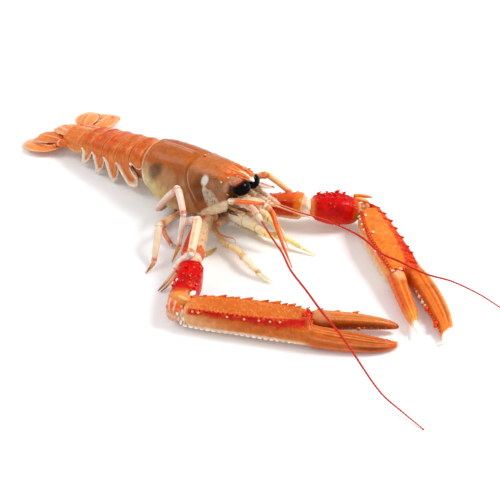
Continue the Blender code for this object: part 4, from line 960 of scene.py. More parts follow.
def scale_blade(name, node, s, rows):
    """Leaf-shaped antennal scale: thick straight outer bar, thin inner flange, bristles along its inner edge.
    rows: x, y and z of the bar's inner side, inner reach of the flange, outer reach of the bar."""
    prof = spline(rows, 50)
    u = np.arange(40) * 2 * np.pi / 40
    cu, su = np.cos(u), np.sin(u)
    rings = []
    for x, y, z, inner, outer in prof:
        w, m = 0.5 * (inner + outer), 0.5 * (outer - inner)
        thick = min(0.22 + 0.75 * float(outer) / 1.6 * 1.0, 1.25)
        deep = 0.20 + (thick - 0.2) * smooth(cu, 0.15, 0.55)
        rings.append(np.stack([np.full(40, x), s * (y + m + w * cu), z + deep * su + 0.25 * (1 - smooth(cu, -0.9, 0.2))], -1))
    P = np.array(rings)
    W, S = np.broadcast_to(cu, P.shape[:2]), np.broadcast_to(np.linspace(0, 1, 50)[:, None], P.shape[:2])
    P = push(P, 0.08 * (fbm(P, 1.0, 3) - 0.5) + 0.05 * np.cos(W * 22) * (W < 0.2))
    c = np.broadcast_to(rgb(238, 208, 176) if s < 0 else rgb(248, 216, 200), P.shape).copy()
    c = over(c, rgb(228, 150, 100), smooth(fbm(P, 1.3, 5), 0.5, 0.66) * 0.5)
    c = over(c, rgb(230, 104, 28), smooth(W, 0.05, 0.25) * smooth(S, 0.10, 0.24) * (0.95 if s < 0 else 0.35))
    c = over(c, rgb(212, 50, 30), smooth(W, 0.55, 0.85) * (0.0 if s < 0 else 0.8))
    c = over(c, rgb(248, 222, 196), (1 - smooth(W, -0.95, -0.7)) * 0.8)
    c = over(c, rgb(250, 236, 216), (1 - smooth(S, 0.03, 0.12)) * 0.9)
    p = Piece(name, [node], "shell_pink", LOOK["mouth"])
    p.grid(P, c, 0.5)
    x, y, z, _, o = rows[-1]
    p.cone((x - 0.6, s * (y + 0.4 * o), z), (1, 0.02 * s, 0.12), 1.8, 0.6, rgb(226, 104, 40), TIPC)
    for k in range(60):
        i = int(4 + k * 42 / 60)
        root = P[i, 20]
        way = np.array([0.62, -s * 0.75, 0.12])
        p.hair([root - 0.2 * way, root + 0.9 * way, root + 1.9 * way + (0.5, 0, -0.1)], 0.06, rgb(228, 176, 124), rgb(246, 222, 190), 3)
    p.done()


scale_blade("feeler_scale_r", "antenna_scale_r", -1, [(56.8, 11.2, 23.7, 0.9, 1.3), (59.0, 10.7, 24.2, 2.4, 1.8), (63.5, 9.7, 25.3, 3.8, 2.0), (68.0, 8.7, 26.3, 3.5, 2.0), (72.0, 8.1, 27.2, 2.2, 1.8), (74.0, 7.9, 27.6, 0.5, 0.9)])
scale_blade("feeler_scale_l", "antenna_scale_l", 1, [(57.0, 8.2, 23.2, 0.9, 0.9), (58.8, 7.8, 23.8, 1.9, 1.2), (61.4, 7.2, 24.6, 2.6, 1.2), (64.2, 6.6, 25.4, 2.3, 1.1), (66.4, 6.2, 26.0, 1.3, 0.9), (67.4, 6.1, 26.3, 0.3, 0.5)])

ANTENNULE_R = [(55.0, -2.6, 22.0, 1.6, 1.6), (58.6, -2.7, 21.4, 1.9, 1.8), (64.0, -2.7, 21.6, 1.8, 1.8), (69.0, -2.6, 21.8, 1.7, 1.6), (72.4, -2.9, 21.4, 1.4, 1.3),
               (75.6, -4.4, 20.4, 0.95, 0.95), (81.0, -8.2, 18.4, 0.85, 0.85), (89.5, -13.9, 15.6, 0.65, 0.65), (99.2, -20.0, 12.4, 0.25, 0.25)]
ANTENNULE_L = [(55.0, 2.6, 21.2, 1.5, 1.5), (58.6, 2.6, 20.6, 1.8, 1.7), (64.0, 2.0, 20.8, 1.7, 1.7), (69.6, 1.0, 21.2, 1.2, 1.1),
               (73.0, 1.4, 21.3, 0.45, 0.45), (82.0, 3.0, 21.0, 0.28, 0.28), (90.0, 4.4, 20.8, 0.12, 0.12)]
for name, node, rows, s in (("small_feeler_r", "antennule_r", ANTENNULE_R, -1), ("small_feeler_l", "antennule_l", ANTENNULE_L, 1)):
    P, A, B, T, *_ = ringset(rows, 24, 220, 2.0)
    base_end = 0.36 if s < 0 else 0.40
    X = P[..., 0]
    lift = 0.0 * T
    for j in (60.8, 65.6, 69.6):
        lift = lift - 0.3 * bell(X, j, 0.35) + 0.15 * bell(X, j - 0.8, 0.5)
    lift = lift + 0.05 * np.cos(X * 2 * np.pi / 0.9) * smooth(X, 72, 74)
    P = push(P, lift)
    if s < 0:
        c = np.broadcast_to(rgb(222, 92, 34), P.shape).copy()
        c = over(c, rgb(230, 150, 104), (A > 0.1) * smooth(X, 70, 73) * 0.5)
        c = over(c, rgb(226, 142, 60), smooth(X, 92, 98) * 0.8)
    else:
        c = np.broadcast_to(rgb(238, 178, 140), P.shape).copy()
        c = over(c, rgb(214, 96, 60), smooth(fbm(P, 2, 5), 0.5, 0.7) * 0.5)
    root = 1 - smooth(X, 71.5 if s < 0 else 69.5, 74.5 if s < 0 else 71.5)
    c = over(c, rgb(238, 200, 160), root)
    c = over(c, rgb(222, 122, 64), root * smooth(fbm(P, 1.5, 15), 0.46, 0.60) * 0.75)
    c = over(c, rgb(206, 84, 40), root * stripes(X, (67.5, 69.5, 71.4), 0.32) * (B > -0.3) * 0.6)
    c = over(c, rgb(252, 240, 224), root * stripes(X, (66.6, 68.6, 70.5), 0.42) * (B > -0.4) * 0.95)
    p = Piece(name, [node], "shell_pink", LOOK["feeler"])
    p.grid(P, c, 0.5)
    # the thin inner lash beside the stout one
    if s < 0:
        lash = [(70.0, -1.9, 20.9, 0.6, 0.6), (74.0, -2.2, 20.7, 0.5, 0.5), (80.0, -5.9, 19.0, 0.42, 0.42), (87.0, -10.4, 16.8, 0.3, 0.3), (93.0, -14.2, 14.8, 0.14, 0.14)]
    else:
        lash = [(69.6, 1.9, 21.4, 0.4, 0.4), (75.0, 3.0, 21.6, 0.25, 0.25), (82.0, 4.8, 21.0, 0.18, 0.18), (88.0, 6.4, 20.8, 0.08, 0.08)]
    Q, A2, B2, T2, *_ = ringset(lash, 10, 140, 2.0)
    cc = over(np.broadcast_to(rgb(236, 168, 126), Q.shape), rgb(216, 104, 68), (0.5 + 0.5 * np.cos(T2 * 120)) * 0.4)
    p.grid(Q, cc, 0.4)
    p.done()


# ================================================================ mouthparts
def maxilliped(side):
    s = side
    node = "maxilliped_l" if s > 0 else "maxilliped_r"
    rows = [(50.6, 4.4, 9.4, 1.4, 1.6), (52.0, 4.5, 10.0, 2.1, 2.6), (56.4, 4.8, 11.0, 2.5, 3.4), (62.0, 4.8, 10.6, 2.2, 2.7),
            (67.0, 4.4, 9.4, 1.6, 1.8), (72.0, 3.8, 8.0, 1.2, 1.2), (75.6, 3.2, 7.0, 0.6, 0.6)]
    rows = [(r[0], s * r[1], *r[2:]) for r in rows]
    P, A, B, T, data, sv, tv = ringset(rows, 40, 110, 2.3)
    X = P[..., 0]
    out = A * (1 if s > 0 else -1)
    lift = 0.0 * T
    for j in (59.6, 66.4, 71.6):
        lift = lift - 0.40 * bell(X, j, 0.4) + 0.15 * bell(X, j - 1.0, 0.6)
    P = push(P, lift + 0.22 * (fbm(P, 2.0, 5) - 0.5))
    c = np.broadcast_to(rgb(255, 243, 216), P.shape).copy()
    c = over(c, rgb(252, 226, 180), smooth(fbm(P, 2.2, 9), 0.48, 0.7) * 0.6)
    c = over(c, rgb(248, 226, 150), smooth(X, 62, 67) * smooth(fbm(P, 2.6, 19), 0.36, 0.55) * 0.85)
    # near-white spot on the bulge: painted highlight
    c = over(c, rgb(255, 252, 246), spot(X, P[..., 2], 55.5, 12.4, 2.2, 1.4, 0, 0.5) * 0.9)
    c = over(c, rgb(176, 124, 80), stripes(X, (59.6, 66.4, 71.6), 0.30) * 0.35)
    p = Piece("mouth_leg_" + ("l" if s > 0 else "r"), [node], "mouth_cream", LOOK["mouth"])
    p.grid(P, c, 0.75)
    # the comb of stiff golden bristles along its lower outer edge
    for k in range(26):
        t = k / 25
        i = int(10 + t * 58)
        centre, w, h = data[i, :3], data[i, 3], data[i, 4]
        for row in (0, 1):
            base = centre + np.array([0, s * w * (0.8 - 0.5 * row), -h * (0.55 + 0.3 * row)])
            j = scatter(k, row, 3, 4)
            ln = (1.9 + 1.5 * j) * (0.7 + 0.6 * math.sin(math.pi * (0.15 + 0.8 * t)))
            way = np.array([0.55 + 0.2 * j, s * (0.55 - 0.5 * row), -0.55])
            way /= np.linalg.norm(way)
            tip_z = base[2] + way[2] * ln
            p.hair([base - 0.3 * way, base + 0.5 * ln * way, base + ln * way + (0.3, 0, 0.15)], 0.10, rgb(150, 104, 40), rgb(196, 146, 70), 4)
    # dark cone along the gap edge, painted shade standing for the shaded gap, and small palps at its root
    p.cone((53.0, s * 7.0, 13.6), (1, 0.15 * s, 0.12), 5.4, 0.9, rgb(98, 56, 34), rgb(140, 90, 56), around=8, power=0.7)
    p.cone((55.4, s * 6.6, 15.8), (1, -0.1 * s, 0.05), 6.0, 0.9, rgb(196, 150, 112), rgb(226, 190, 150), around=8, power=0.7)
    p.done()


maxilliped(-1)
maxilliped(1)

P, A, B, T, *_ = ringset([(53.0, 0.0, 16.0, 2.2, 1.4), (54.2, 0.0, 16.3, 3.6, 1.9), (55.4, 0.0, 16.6, 4.6, 2.2), (58.4, 0.0, 16.2, 4.2, 1.9), (61.6, 0.0, 15.6, 1.8, 1.0)], 36, 40, 2.2)
P = push(P, 0.3 * (fbm(P, 1.6, 5) - 0.5))
c = over(np.broadcast_to(rgb(176, 124, 84), P.shape), rgb(120, 74, 46), smooth(fbm(P, 1.8, 6), 0.45, 0.65) * 0.7)
p = Piece("mouth_plate", ["mouth"], "mouth_cream", LOOK["mouth"])
p.grid(P, c, 0.6)
for s in (-1, 1):
    for x, y, z, col in ((56.5, 2.2, 13.6, rgb(206, 160, 118)), (58.6, 2.6, 12.8, rgb(214, 176, 132)), (60.6, 2.4, 13.4, rgb(220, 170, 120))):
        p.bead((x, s * y, z), (2.2, 1.2, 1.5), col, 0.7)
p.done()

# ================================================================ claw arms
CLAW_R = ((80.6, -67.5), (0.843, 0.538), (0.538, -0.843))
CLAW_L = ((93.5, 39.7), (0.842, -0.539), (0.539, 0.842))


def on_claw(claw, rows):
    (x, y), (ax, ay), (bx, by) = claw
    return [(x + s * ax + t * bx, y + s * ay + t * by, z, w, h) for s, t, w, z, h in rows]


def in_claw(claw, P):
    """(s, t) of points in a claw's own frame: s along it, t sideways, away from the other claw."""
    (x, y), (ax, ay), (bx, by) = claw
    dx, dy = P[..., 0] - x, P[..., 1] - y
    return dx * ax + dy * ay, dx * bx + dy * by


def claw_point(claw, s, t, z):
    (x, y), (ax, ay), (bx, by) = claw
    return np.array([x + s * ax + t * bx, y + s * ay + t * by, z])


def claw_way(claw, s, t, z):
    _, (ax, ay), (bx, by) = claw
    return np.array([s * ax + t * bx, s * ay + t * by, z])


SPINE = rgb(226, 92, 34)
SPINE_TIP = rgb(246, 178, 116)


def merus(side):
    s = side
    if s < 0:
        rows = [(43.4, -10.8, 7.8, 1.9, 1.8), (45.0, -14.6, 8.6, 3.0, 2.9), (48.8, -22.0, 9.8, 3.8, 3.7), (54.4, -31.0, 10.4, 4.5, 4.3),
                (59.2, -38.0, 10.3, 4.9, 4.6), (62.0, -42.0, 10.0, 3.4, 3.4)]
    else:
        rows = [(45.0, 9.8, 6.2, 2.0, 1.9), (48.6, 11.8, 7.2, 3.0, 2.8), (54.8, 14.0, 8.2, 4.1, 4.4), (63.0, 17.2, 9.6, 5.0, 5.6),
                (70.8, 20.8, 10.6, 5.4, 6.1), (73.8, 22.2, 10.6, 3.9, 4.6)]
    P, A, B, T, data, sv, tv = ringset(rows, 64, 110, 2.4)
    # A > 0 is towards the head for the right arm's rear... sort out by direction: fwd is the side facing the head
    fwd = A * np.sign((sv[:, None] * np.array([1.0, 0, 0])).sum(-1))
    lift = 0.12 * grains(P, 1.1, 5, 0.6) * smooth(B, -0.2, 0.3) + 0.16 * (fbm(P, 2.5, 6) - 0.5)
    lift = lift + 0.35 * bell(T, 0.90, 0.04) * smooth(B, -0.6, 0.0) - 0.45 * bell(T, 0.965, 0.02)
    lift = lift + 0.35 * bell(B, 0.75, 0.18) * bell(np.abs(A), 0.8, 0.25)
    P = push(P, lift)
    if s < 0:
        # seen from above: saturated outer rear strip, pale beige inner side
        rear = -fwd
        c = np.broadcast_to(rgb(222, 84, 26), P.shape).copy()
        c = over(c, rgb(206, 46, 10), smooth(rear, -0.1, 0.5) * 0.8)
        c = over(c, rgb(216, 180, 142), smooth(-rear + 0.5 * (fbm(P, 3.5, 19) - 0.5), -0.15, 0.25))
        c = over(c, rgb(240, 206, 166), (1 - smooth(B, -0.7, -0.2)))
    else:
        near = -A  # side facing the camera, to the animal's right
        c = np.broadcast_to(rgb(200, 58, 10), P.shape).copy()
        c = over(c, rgb(188, 36, 8), smooth(fbm(P, 3, 7), 0.42, 0.60) * smooth(T, 0.3, 0.5) * 0.7)
        c = over(c, rgb(222, 92, 30), smooth(B, 0.7, 0.97) * 0.6)
        c = over(c, rgb(222, 166, 116), (1 - smooth(B + 0.12 * A, -0.62, -0.38)))
        c = over(c, rgb(238, 206, 170), (1 - smooth(B, -0.9, -0.6)) * 0.8)
        c = over(c, rgb(140, 70, 30), bell(B + 0.12 * A, -0.50, 0.05) * 0.5)
    c = over(c, rgb(232, 120, 42) if s > 0 else rgb(216, 70, 22), smooth(T + 0.04 * (fbm(P, 1.6, 58) - 0.5), 0.82, 0.88) * smooth(B, -0.5, -0.1) * 0.8)
    c = over(c, rgb(240, 196, 150), smooth(T, 0.93, 0.97) * 0.9)
    c = over(c, rgb(240, 206, 168), (1 - smooth(T, 0.03, 0.12)) * 0.9)
    c = c * (1 + 0.20 * (fbm(P, 1.4, 8) - 0.5))[..., None]
    p = Piece("claw_arm_" + ("l" if s > 0 else "r"), ["merus_l" if s > 0 else "merus_r"], "claw_orange", LOOK["claw"])
    p.grid(P, c, 0.6)
    # spines along the upper edges and round the far end
    for edge in (-0.8, 0.8):
        for t in (0.30, 0.44, 0.58, 0.72, 0.84):
            i = int(t * 109)
            d = data[i]
            base = d[:3] + sv[i] * d[3] * edge * 0.86 + tv[i] * d[4] * 0.80
            way = (data[i, :3] - data[i - 3, :3])
            way = way / np.linalg.norm(way) * 0.9 + sv[i] * edge * 0.35 + tv[i] * 0.6
            p.cone(base, way, 1.3 + 0.5 * (t > 0.8), 0.5, SPINE, SPINE_TIP)
    for a in np.linspace(-0.2, 3.4, 7):
        i = 98
        d = data[i]
        base = d[:3] + sv[i] * d[3] * 0.96 * math.cos(a) + tv[i] * d[4] * 0.96 * math.sin(a)
        way = (data[i, :3] - data[i - 3, :3])
        way = way / np.linalg.norm(way) + 0.35 * (sv[i] * math.cos(a) + tv[i] * math.sin(a))
        p.cone(base, way, 1.3, 0.5, SPINE, SPINE_TIP)
    # soft white skin of the joint beyond it, with a golden line
    end = data[-1, :3]
    way = data[-1, :3] - data[-6, :3]
    way /= np.linalg.norm(way)
    rows2 = [(*(end - 2.6 * way), 3.6, 3.5), (*(end - 0.6 * way), 4.3, 4.2), (*(end + 1.0 * way), 4.2, 4.1), (*(end + 2.6 * way), 3.4, 3.3)]
    Q, A2, B2, T2, *_ = ringset(rows2, 44, 30, 2.2)
    Q = push(Q, 0.10 * np.cos(T2 * 22 + 2 * A2) + 0.5 * (fbm(Q, 1.8, 3) - 0.5))
    cc = over(np.broadcast_to(rgb(244, 220, 196), Q.shape), rgb(228, 170, 124), smooth(fbm(Q, 1.6, 13), 0.46, 0.62) * 0.7)
    cc = over(cc, rgb(252, 242, 228), smooth(fbm(Q, 1.3, 14), 0.55, 0.66) * 0.7)
    cc = over(cc, rgb(206, 130, 50), bell(T2, 0.72, 0.05) * smooth(fbm(Q, 1.5, 15), 0.42, 0.5) * 0.7)
    p.grid(Q, cc, 0.6)
    # short inner joints between the arm and the body
    first, way0 = data[0, :3], data[0, :3] - data[6, :3]
    way0 /= np.linalg.norm(way0)
    rows3 = [(*(first + 5.2 * way0), 2.0, 1.9), (*(first + 3.4 * way0), 2.9, 2.8), (*(first + 1.2 * way0), 3.0, 2.9), (*(first - 1.2 * way0), 2.6, 2.5)]
    Q, A3, B3, T3, *_ = ringset(rows3, 30, 26, 2.2)
    Q = push(Q, 0.2 * (fbm(Q, 1.4, 3) - 0.5) - 0.3 * bell(T3, 0.5, 0.06))
    Q[..., 2] = np.maximum(Q[..., 2], 2.2)
    p.grid(Q, over(np.broadcast_to(rgb(236, 196, 158), Q.shape), rgb(220, 108, 54), smooth(T3, 0.55, 0.8) * 0.7), 0.5)
    return p


merus(-1).done()
merus(1).done()


def carpus(side):
    s = side
    if s < 0:
        rows = on_claw(CLAW_R, [(-1.2, -28.9, 3.0, 10.0, 2.9), (-1.0, -26.6, 4.9, 9.6, 5.1), (-0.8, -20.0, 5.7, 8.6, 6.4), (-1.0, -14.0, 5.5, 7.7, 6.2),
                                (-2.0, -9.0, 4.8, 7.0, 5.8), (-2.9, -4.5, 4.0, 6.2, 5.1), (-3.3, -0.6, 2.8, 5.4, 3.6)])
    else:
        rows = [(75.0, 22.8, 10.8, 3.0, 3.0), (77.4, 25.2, 10.6, 5.5, 5.4), (82.0, 29.6, 10.0, 6.7, 6.9), (87.0, 34.2, 9.0, 6.5, 6.7),
                (90.4, 37.4, 8.2, 4.9, 5.6), (92.0, 38.9, 7.9, 3.2, 3.9)]
    P, A, B, T, data, sv, tv = ringset(rows, 96, 150, 2.6)
    gr = grains(P, 2.1, 5, 0.5)
    lift = 0.42 * gr * smooth(B, -0.5, 0.1) + 0.10 * grains(P, 0.8, 15, 0.8) + 0.45 * (fbm(P, 3.0, 6) - 0.5)
    lift = lift - 0.7 * bell(A, 0.15 * s, 0.18) * smooth(B, 0.5, 0.9) * smooth(T, 0.15, 0.3) * (1 - smooth(T, 0.6, 0.75))
    lift = lift + 0.4 * bell(T, 0.11, 0.03) * smooth(B, -0.3, 0.4)
    P = push(P, lift)
    red = rgb(200, 22, 2)
    c = np.broadcast_to(red, P.shape).copy()
    c = over(c, rgb(214, 36, 12), smooth(fbm(P, 2.6, 8), 0.45, 0.66) * 0.6)
    c = over(c, rgb(150, 10, 4), smooth(fbm(P, 3.4, 18), 0.52, 0.70) * 0.5)
    c = over(c, rgb(222, 76, 36), gr * smooth(B, -0.5, 0.2) * smooth(gr, 0.55, 0.95) * 0.4)
    c = over(c, rgb(214, 60, 24), (1 - smooth(B, -0.55, 0.1)) * 0.5)
    c = over(c, rgb(236, 176, 130), (1 - smooth(B, -0.98, -0.75)) * 0.8)
    if s < 0:
        c = over(c, rgb(222, 96, 50), smooth(-A * 1.0, 0.55, 0.95) * 0.6)
        # pale lower part towards the palm, red at its lower end
        end = smooth(T + 0.06 * A, 0.62, 0.76)
        c = over(c, rgb(222, 132, 80), end * 0.85)
        c = over(c, rgb(238, 196, 166), smooth(T, 0.74, 0.90) * (1 - smooth(B, 0.5, 0.9)) * 0.75)
        c = over(c, rgb(214, 70, 34), bell(T, 0.93, 0.05) * smooth(fbm(P, 1.6, 28), 0.40, 0.56) * 0.7)
        c = over(c, rgb(246, 222, 200), stripes(A, (-0.55, 0.10), 0.09) * smooth(T, 0.70, 0.80) * 0.6)
    else:
        c = over(c, rgb(206, 92, 52), smooth(T + 0.05 * (fbm(P, 2.0, 28) - 0.5), 0.80, 0.90) * 0.85)
        c = over(c, rgb(232, 170, 126), smooth(T, 0.91, 0.98) * 0.8)
        c = over(c, rgb(238, 160, 110), bell(T, 0.06, 0.04) * 0.6)
    c = over(c, rgb(236, 120, 60), (1 - smooth(T, 0.04, 0.10)) * 0.9)
    p = Piece("claw_wrist_" + ("l" if s > 0 else "r"), ["carpus_l" if s > 0 else "carpus_r"], "wrist_red", LOOK["wrist"])
    p.grid(P, c, 0.9 * (1 - 0.5 * (B < -0.3)))
    # spines: a crown at the arm end, a few large ones along both upper edges
    tips = rgb(244, 140, 84)
    if s < 0:
        spots = [(0.14, -0.80, 0.7), (0.30, -0.84, 0.8), (0.47, -0.86, 0.9), (0.60, -0.84, 0.7), (0.18, 0.80, 0.6), (0.34, 0.84, 0.7), (0.50, 0.84, 0.6), (0.24, -0.2, 0.5), (0.42, 0.3, 0.5), (0.12, 0.35, 0.6)]
    else:
        spots = [(0.18, 0.62, 1.4), (0.34, 0.70, 0.7), (0.52, 0.60, 1.6), (0.66, 0.62, 1.1), (0.28, 0.20, 0.6), (0.48, 0.15, 0.5), (0.12, -0.30, 0.6), (0.16, -0.62, 0.7), (0.36, -0.74, 0.6)]
    for n, (t, e, big) in enumerate(spots):
        i = int(t * 149)
        d = data[i]
        high = (1 - abs(e) ** 2.6) ** (1 / 2.6)
        base = d[:3] + sv[i] * d[3] * e + tv[i] * d[4] * min(0.98, high + 0.03)
        way = data[min(i + 3, 149), :3] - data[i - 3, :3]
        way = way / np.linalg.norm(way) * 0.8 + sv[i] * e * 0.55 + tv[i] * 0.75
        p.cone(base, way, (1.9 if s < 0 else 1.45) * big, 0.75 * math.sqrt(big), rgb(206, 30, 12), tips if n % 2 == 0 else rgb(222, 70, 34), wet=0.9, around=9)
    for n in range(9):
        t = 0.10 + 0.60 * scatter(n, 1, 2, 31)
        e = -0.6 + 1.2 * scatter(n, 5, 2, 37)
        i = int(t * 149)
        d = data[i]
        high = (1 - abs(e) ** 2.6) ** (1 / 2.6)
        p.bead(d[:3] + sv[i] * d[3] * e + tv[i] * d[4] * (high + 0.01), (0.36, 0.36, 0.3), rgb(226, 96, 60), 1.0, rings=6, around=9)
    if s < 0:
        # the near-white bead on top, shaped as a tubercle, is a painted highlight; then the hinge knob and white skin
        # where the palm joins
        p.bead(claw_point(CLAW_R, -4.0, -14.3, 13.0), (0.9, 1.1, 0.7), rgb(254, 250, 246), 1.0, rings=8, around=12)
        k = claw_point(CLAW_R, -1.8, -6.6, 9.8)
        ax_ = [claw_way(CLAW_R, 0.94, 0.34, 0), claw_way(CLAW_R, -0.34, 0.94, 0), UP]
        p.bead(k, (5.0, 3.6, 2.9), rgb(230, 142, 76), 0.6, axes=ax_, rings=20, around=28)
        p.bead(claw_point(CLAW_R, -0.6, -4.9, 11.6), (3.2, 1.0, 1.0), rgb(240, 176, 116), 0.7, axes=ax_, rings=12, around=18)
        p.bead(claw_point(CLAW_R, 2.9, -9.4, 10.6), (1.0, 1.8, 1.1), rgb(254, 248, 242), 0.9, axes=[claw_way(CLAW_R, 0.8, 0.6, 0), claw_way(CLAW_R, -0.6, 0.8, 0), UP], rings=9, around=14)
        p.bead(claw_point(CLAW_R, 0.2, -1.8, 5.0), (1.8, 2.2, 3.4), rgb(238, 206, 182), 0.6, axes=[claw_way(CLAW_R, 1, 0, 0), claw_way(CLAW_R, 0, 1, 0), UP], rings=14, around=20)
        for n, (s0, t0, z0) in enumerate(((-1.6, -0.6, 7.4), (-1.0, 0.2, 5.2), (0.0, 0.6, 3.6), (0.6, -0.6, 7.8), (1.2, 0.3, 5.4), (1.4, 0.4, 3.2))):
            p.bead(claw_point(CLAW_R, s0, t0, z0), (0.6, 1.1, 1.3), rgb(252, 240, 228) if n % 2 == 0 else rgb(240, 196, 170), 0.8, axes=[claw_way(CLAW_R, 1, 0, 0), claw_way(CLAW_R, 0, 1, 0), UP])
    else:
        p.bead(claw_point(CLAW_L, -0.9, 0.6, 8.2), (2.2, 4.2, 3.9), rgb(222, 146, 100), 0.6, axes=[claw_way(CLAW_L, 1, 0, 0), claw_way(CLAW_L, 0, 1, 0), UP], rings=16, around=22)
        for t, z in ((-3.0, 8.4), (-1.6, 10.0), (0.4, 10.8), (2.4, 10.2)):
            p.bead(claw_point(CLAW_L, 0.0, t, z), (0.6, 0.8, 0.8), rgb(250, 236, 220), 0.9)
        # the two-pronged orange spur that reaches over the joint, pale skin between its prongs
        for pts, r in (([(-7.4, -1.6, 12.4), (-5.4, 1.2, 13.2), (-3.6, 3.6, 13.4), (-2.2, 5.6, 13.4)], 0.85), ([(-4.6, -1.8, 12.4), (-2.4, -0.4, 12.9), (-0.4, 1.6, 13.0), (1.6, 3.0, 12.8)], 0.8)):
            rows2 = [(*claw_point(CLAW_L, a, b, z), r * k, r * k) for (a, b, z), k in zip(pts, (1.3, 1.1, 0.85, 0.25))]
            Q, A2, B2, T2, *_ = ringset(rows2, 14, 30, 2.0)
            p.grid(Q, over(np.broadcast_to(rgb(232, 106, 40), Q.shape), rgb(246, 178, 104), smooth(B2, 0.2, 0.8) * 0.7), 0.8)
        Q, A2, B2, T2, *_ = ringset([(*claw_point(CLAW_L, -5.6, -1.4, 11.8), 1.9, 0.8), (*claw_point(CLAW_L, -3.2, 0.8, 12.4), 1.8, 0.7), (*claw_point(CLAW_L, -1.2, 2.6, 12.3), 1.1, 0.4)], 16, 20, 2.0)
        p.grid(Q, rgb(240, 204, 160), 0.6)
    return p


carpus(-1).done()
carpus(1).done()

PALM_R = [
    (0.9, -3.0, 3.2, 6.4, 3.1), (1.8, -3.1, 4.4, 6.3, 4.0), (3.6, -3.6, 5.6, 6.0, 4.9), (8.4, -4.2, 6.9, 5.7, 5.4), (18.0, -3.9, 7.6, 5.7, 5.5),
    (30.0, -3.3, 7.8, 5.7, 5.5), (42.0, -2.3, 7.8, 5.6, 5.4), (50.6, -1.2, 7.4, 5.4, 5.1), (52.0, 0.6, 5.6, 5.0, 4.7),
    (53.0, 2.5, 3.9, 4.7, 4.4), (60.0, 2.9, 3.8, 4.3, 4.0), (70.0, 2.7, 3.6, 3.7, 3.4), (77.0, 2.3, 2.9, 3.2, 2.8),
    (82.0, 1.6, 2.0, 2.8, 2.1), (85.0, 0.7, 1.2, 2.6, 1.3), (87.0, -0.6, 0.7, 2.5, 0.8), (88.8, -2.4, 0.5, 2.4, 0.55), (89.9, -4.4, 0.35, 2.4, 0.4), (90.3, -6.0, 0.15, 2.4, 0.2)]
DACT_R = [(50.6, -5.3, 2.6, 6.0, 2.4), (51.6, -5.3, 3.3, 6.1, 3.2), (53.0, -5.3, 3.8, 6.2, 3.8), (57.0, -5.7, 3.9, 6.2, 3.8), (62.0, -6.6, 3.5, 6.0, 3.5), (70.0, -8.1, 3.1, 5.3, 3.0),
          (78.0, -9.2, 2.4, 4.4, 2.4), (83.0, -9.5, 1.7, 3.8, 1.7), (85.6, -9.5, 1.05, 3.4, 1.05), (86.5, -9.4, 0.4, 3.3, 0.4)]
PALM_L = [
    (0.9, 2.6, 3.2, 6.6, 3.3), (1.8, 2.6, 4.4, 6.4, 4.2), (3.6, 2.3, 5.8, 6.2, 5.1), (9.0, 1.6, 6.9, 5.9, 5.6), (18.0, 0.9, 7.5, 6.0, 5.8),
    (30.0, 0.3, 7.9, 6.0, 5.8), (41.0, -0.1, 7.9, 5.8, 5.5), (47.6, 0.1, 7.6, 5.6, 5.2), (48.9, 2.4, 5.5, 5.3, 4.9),
    (49.8, 4.3, 4.1, 5.1, 4.7), (57.0, 4.7, 4.2, 4.8, 4.4), (65.0, 4.9, 4.2, 4.2, 3.9), (73.0, 4.4, 3.8, 3.6, 3.3),
    (79.0, 3.5, 3.1, 3.1, 2.7), (83.0, 2.3, 2.5, 2.8, 2.2), (85.6, 0.7, 1.7, 2.5, 1.6), (86.9, -1.2, 1.0, 2.4, 1.0), (87.3, -3.2, 0.5, 2.4, 0.5), (87.2, -4.6, 0.2, 2.4, 0.25)]
DACT_L = [(47.2, -4.6, 2.6, 6.4, 2.6), (48.2, -4.7, 3.3, 6.5, 3.4), (50.0, -4.8, 3.7, 6.7, 3.9), (57.0, -6.0, 3.3, 6.2, 3.6), (64.0, -6.9, 3.0, 5.4, 3.2),
          (70.0, -7.6, 2.5, 4.7, 2.7), (75.0, -8.3, 1.7, 4.2, 2.0), (78.0, -8.8, 0.95, 3.9, 1.2), (80.6, -9.2, 0.5, 3.6, 0.6), (82.4, -9.4, 0.15, 3.5, 0.2)]


def claw_grid(claw, rows, around, along, power, right):
    P, A, B, T, data, sv, tv = ringset(on_claw(claw, rows), around, along, power, axis=claw[1])
    if right:
        A = -A  # A > 0 is outward, away from the other claw
    S, Tt = in_claw(claw, P)
    return P, A, B, S, Tt


def grooves(A, B, S, lines):
    """Lengthwise furrows: (A at the start, A at the end, s from, s to, width, deep, sign of B)."""
    out = 0.0 * S
    for a0, a1, s0, s1, w, deep, sb in lines:
        k = np.clip((S - s0) / (s1 - s0), 0, 1)
        fade = smooth(S, s0, s0 + 4) * (1 - smooth(S, s1 - 5, s1))
        out = out + deep * bell(A, a0 + k * (a1 - a0), w) * fade * (np.sign(B) == sb)
    return out


def saw_tooth(piece, base, way, length, width, root, tip, up=UP):
    """A flattened triangular tooth that leans forward; way points to its tip."""
    way = np.asarray(way, float) / np.linalg.norm(way)
    base = np.asarray(base, float)
    t = np.array([-0.35, 0.0, 0.25, 0.5, 0.75, 0.93, 1.0])
    w = width * np.array([1.25, 1.0, 0.80, 0.56, 0.32, 0.13, 0.04])
    side = np.cross(way, up)
    side /= np.linalg.norm(side)
    top = np.cross(side, way)
    a = np.arange(10) * 2 * np.pi / 10
    P = (base + t[:, None] * way * length)[:, None] + w[:, None, None] * (np.cos(a)[None, :, None] * top * 1.15 + np.sin(a)[None, :, None] * side * 0.62)
    c = root + (tip - root) * smooth(t, 0.15, 0.85)[:, None]
    piece.grid(P, np.broadcast_to(c[:, None], P.shape), 0.8)


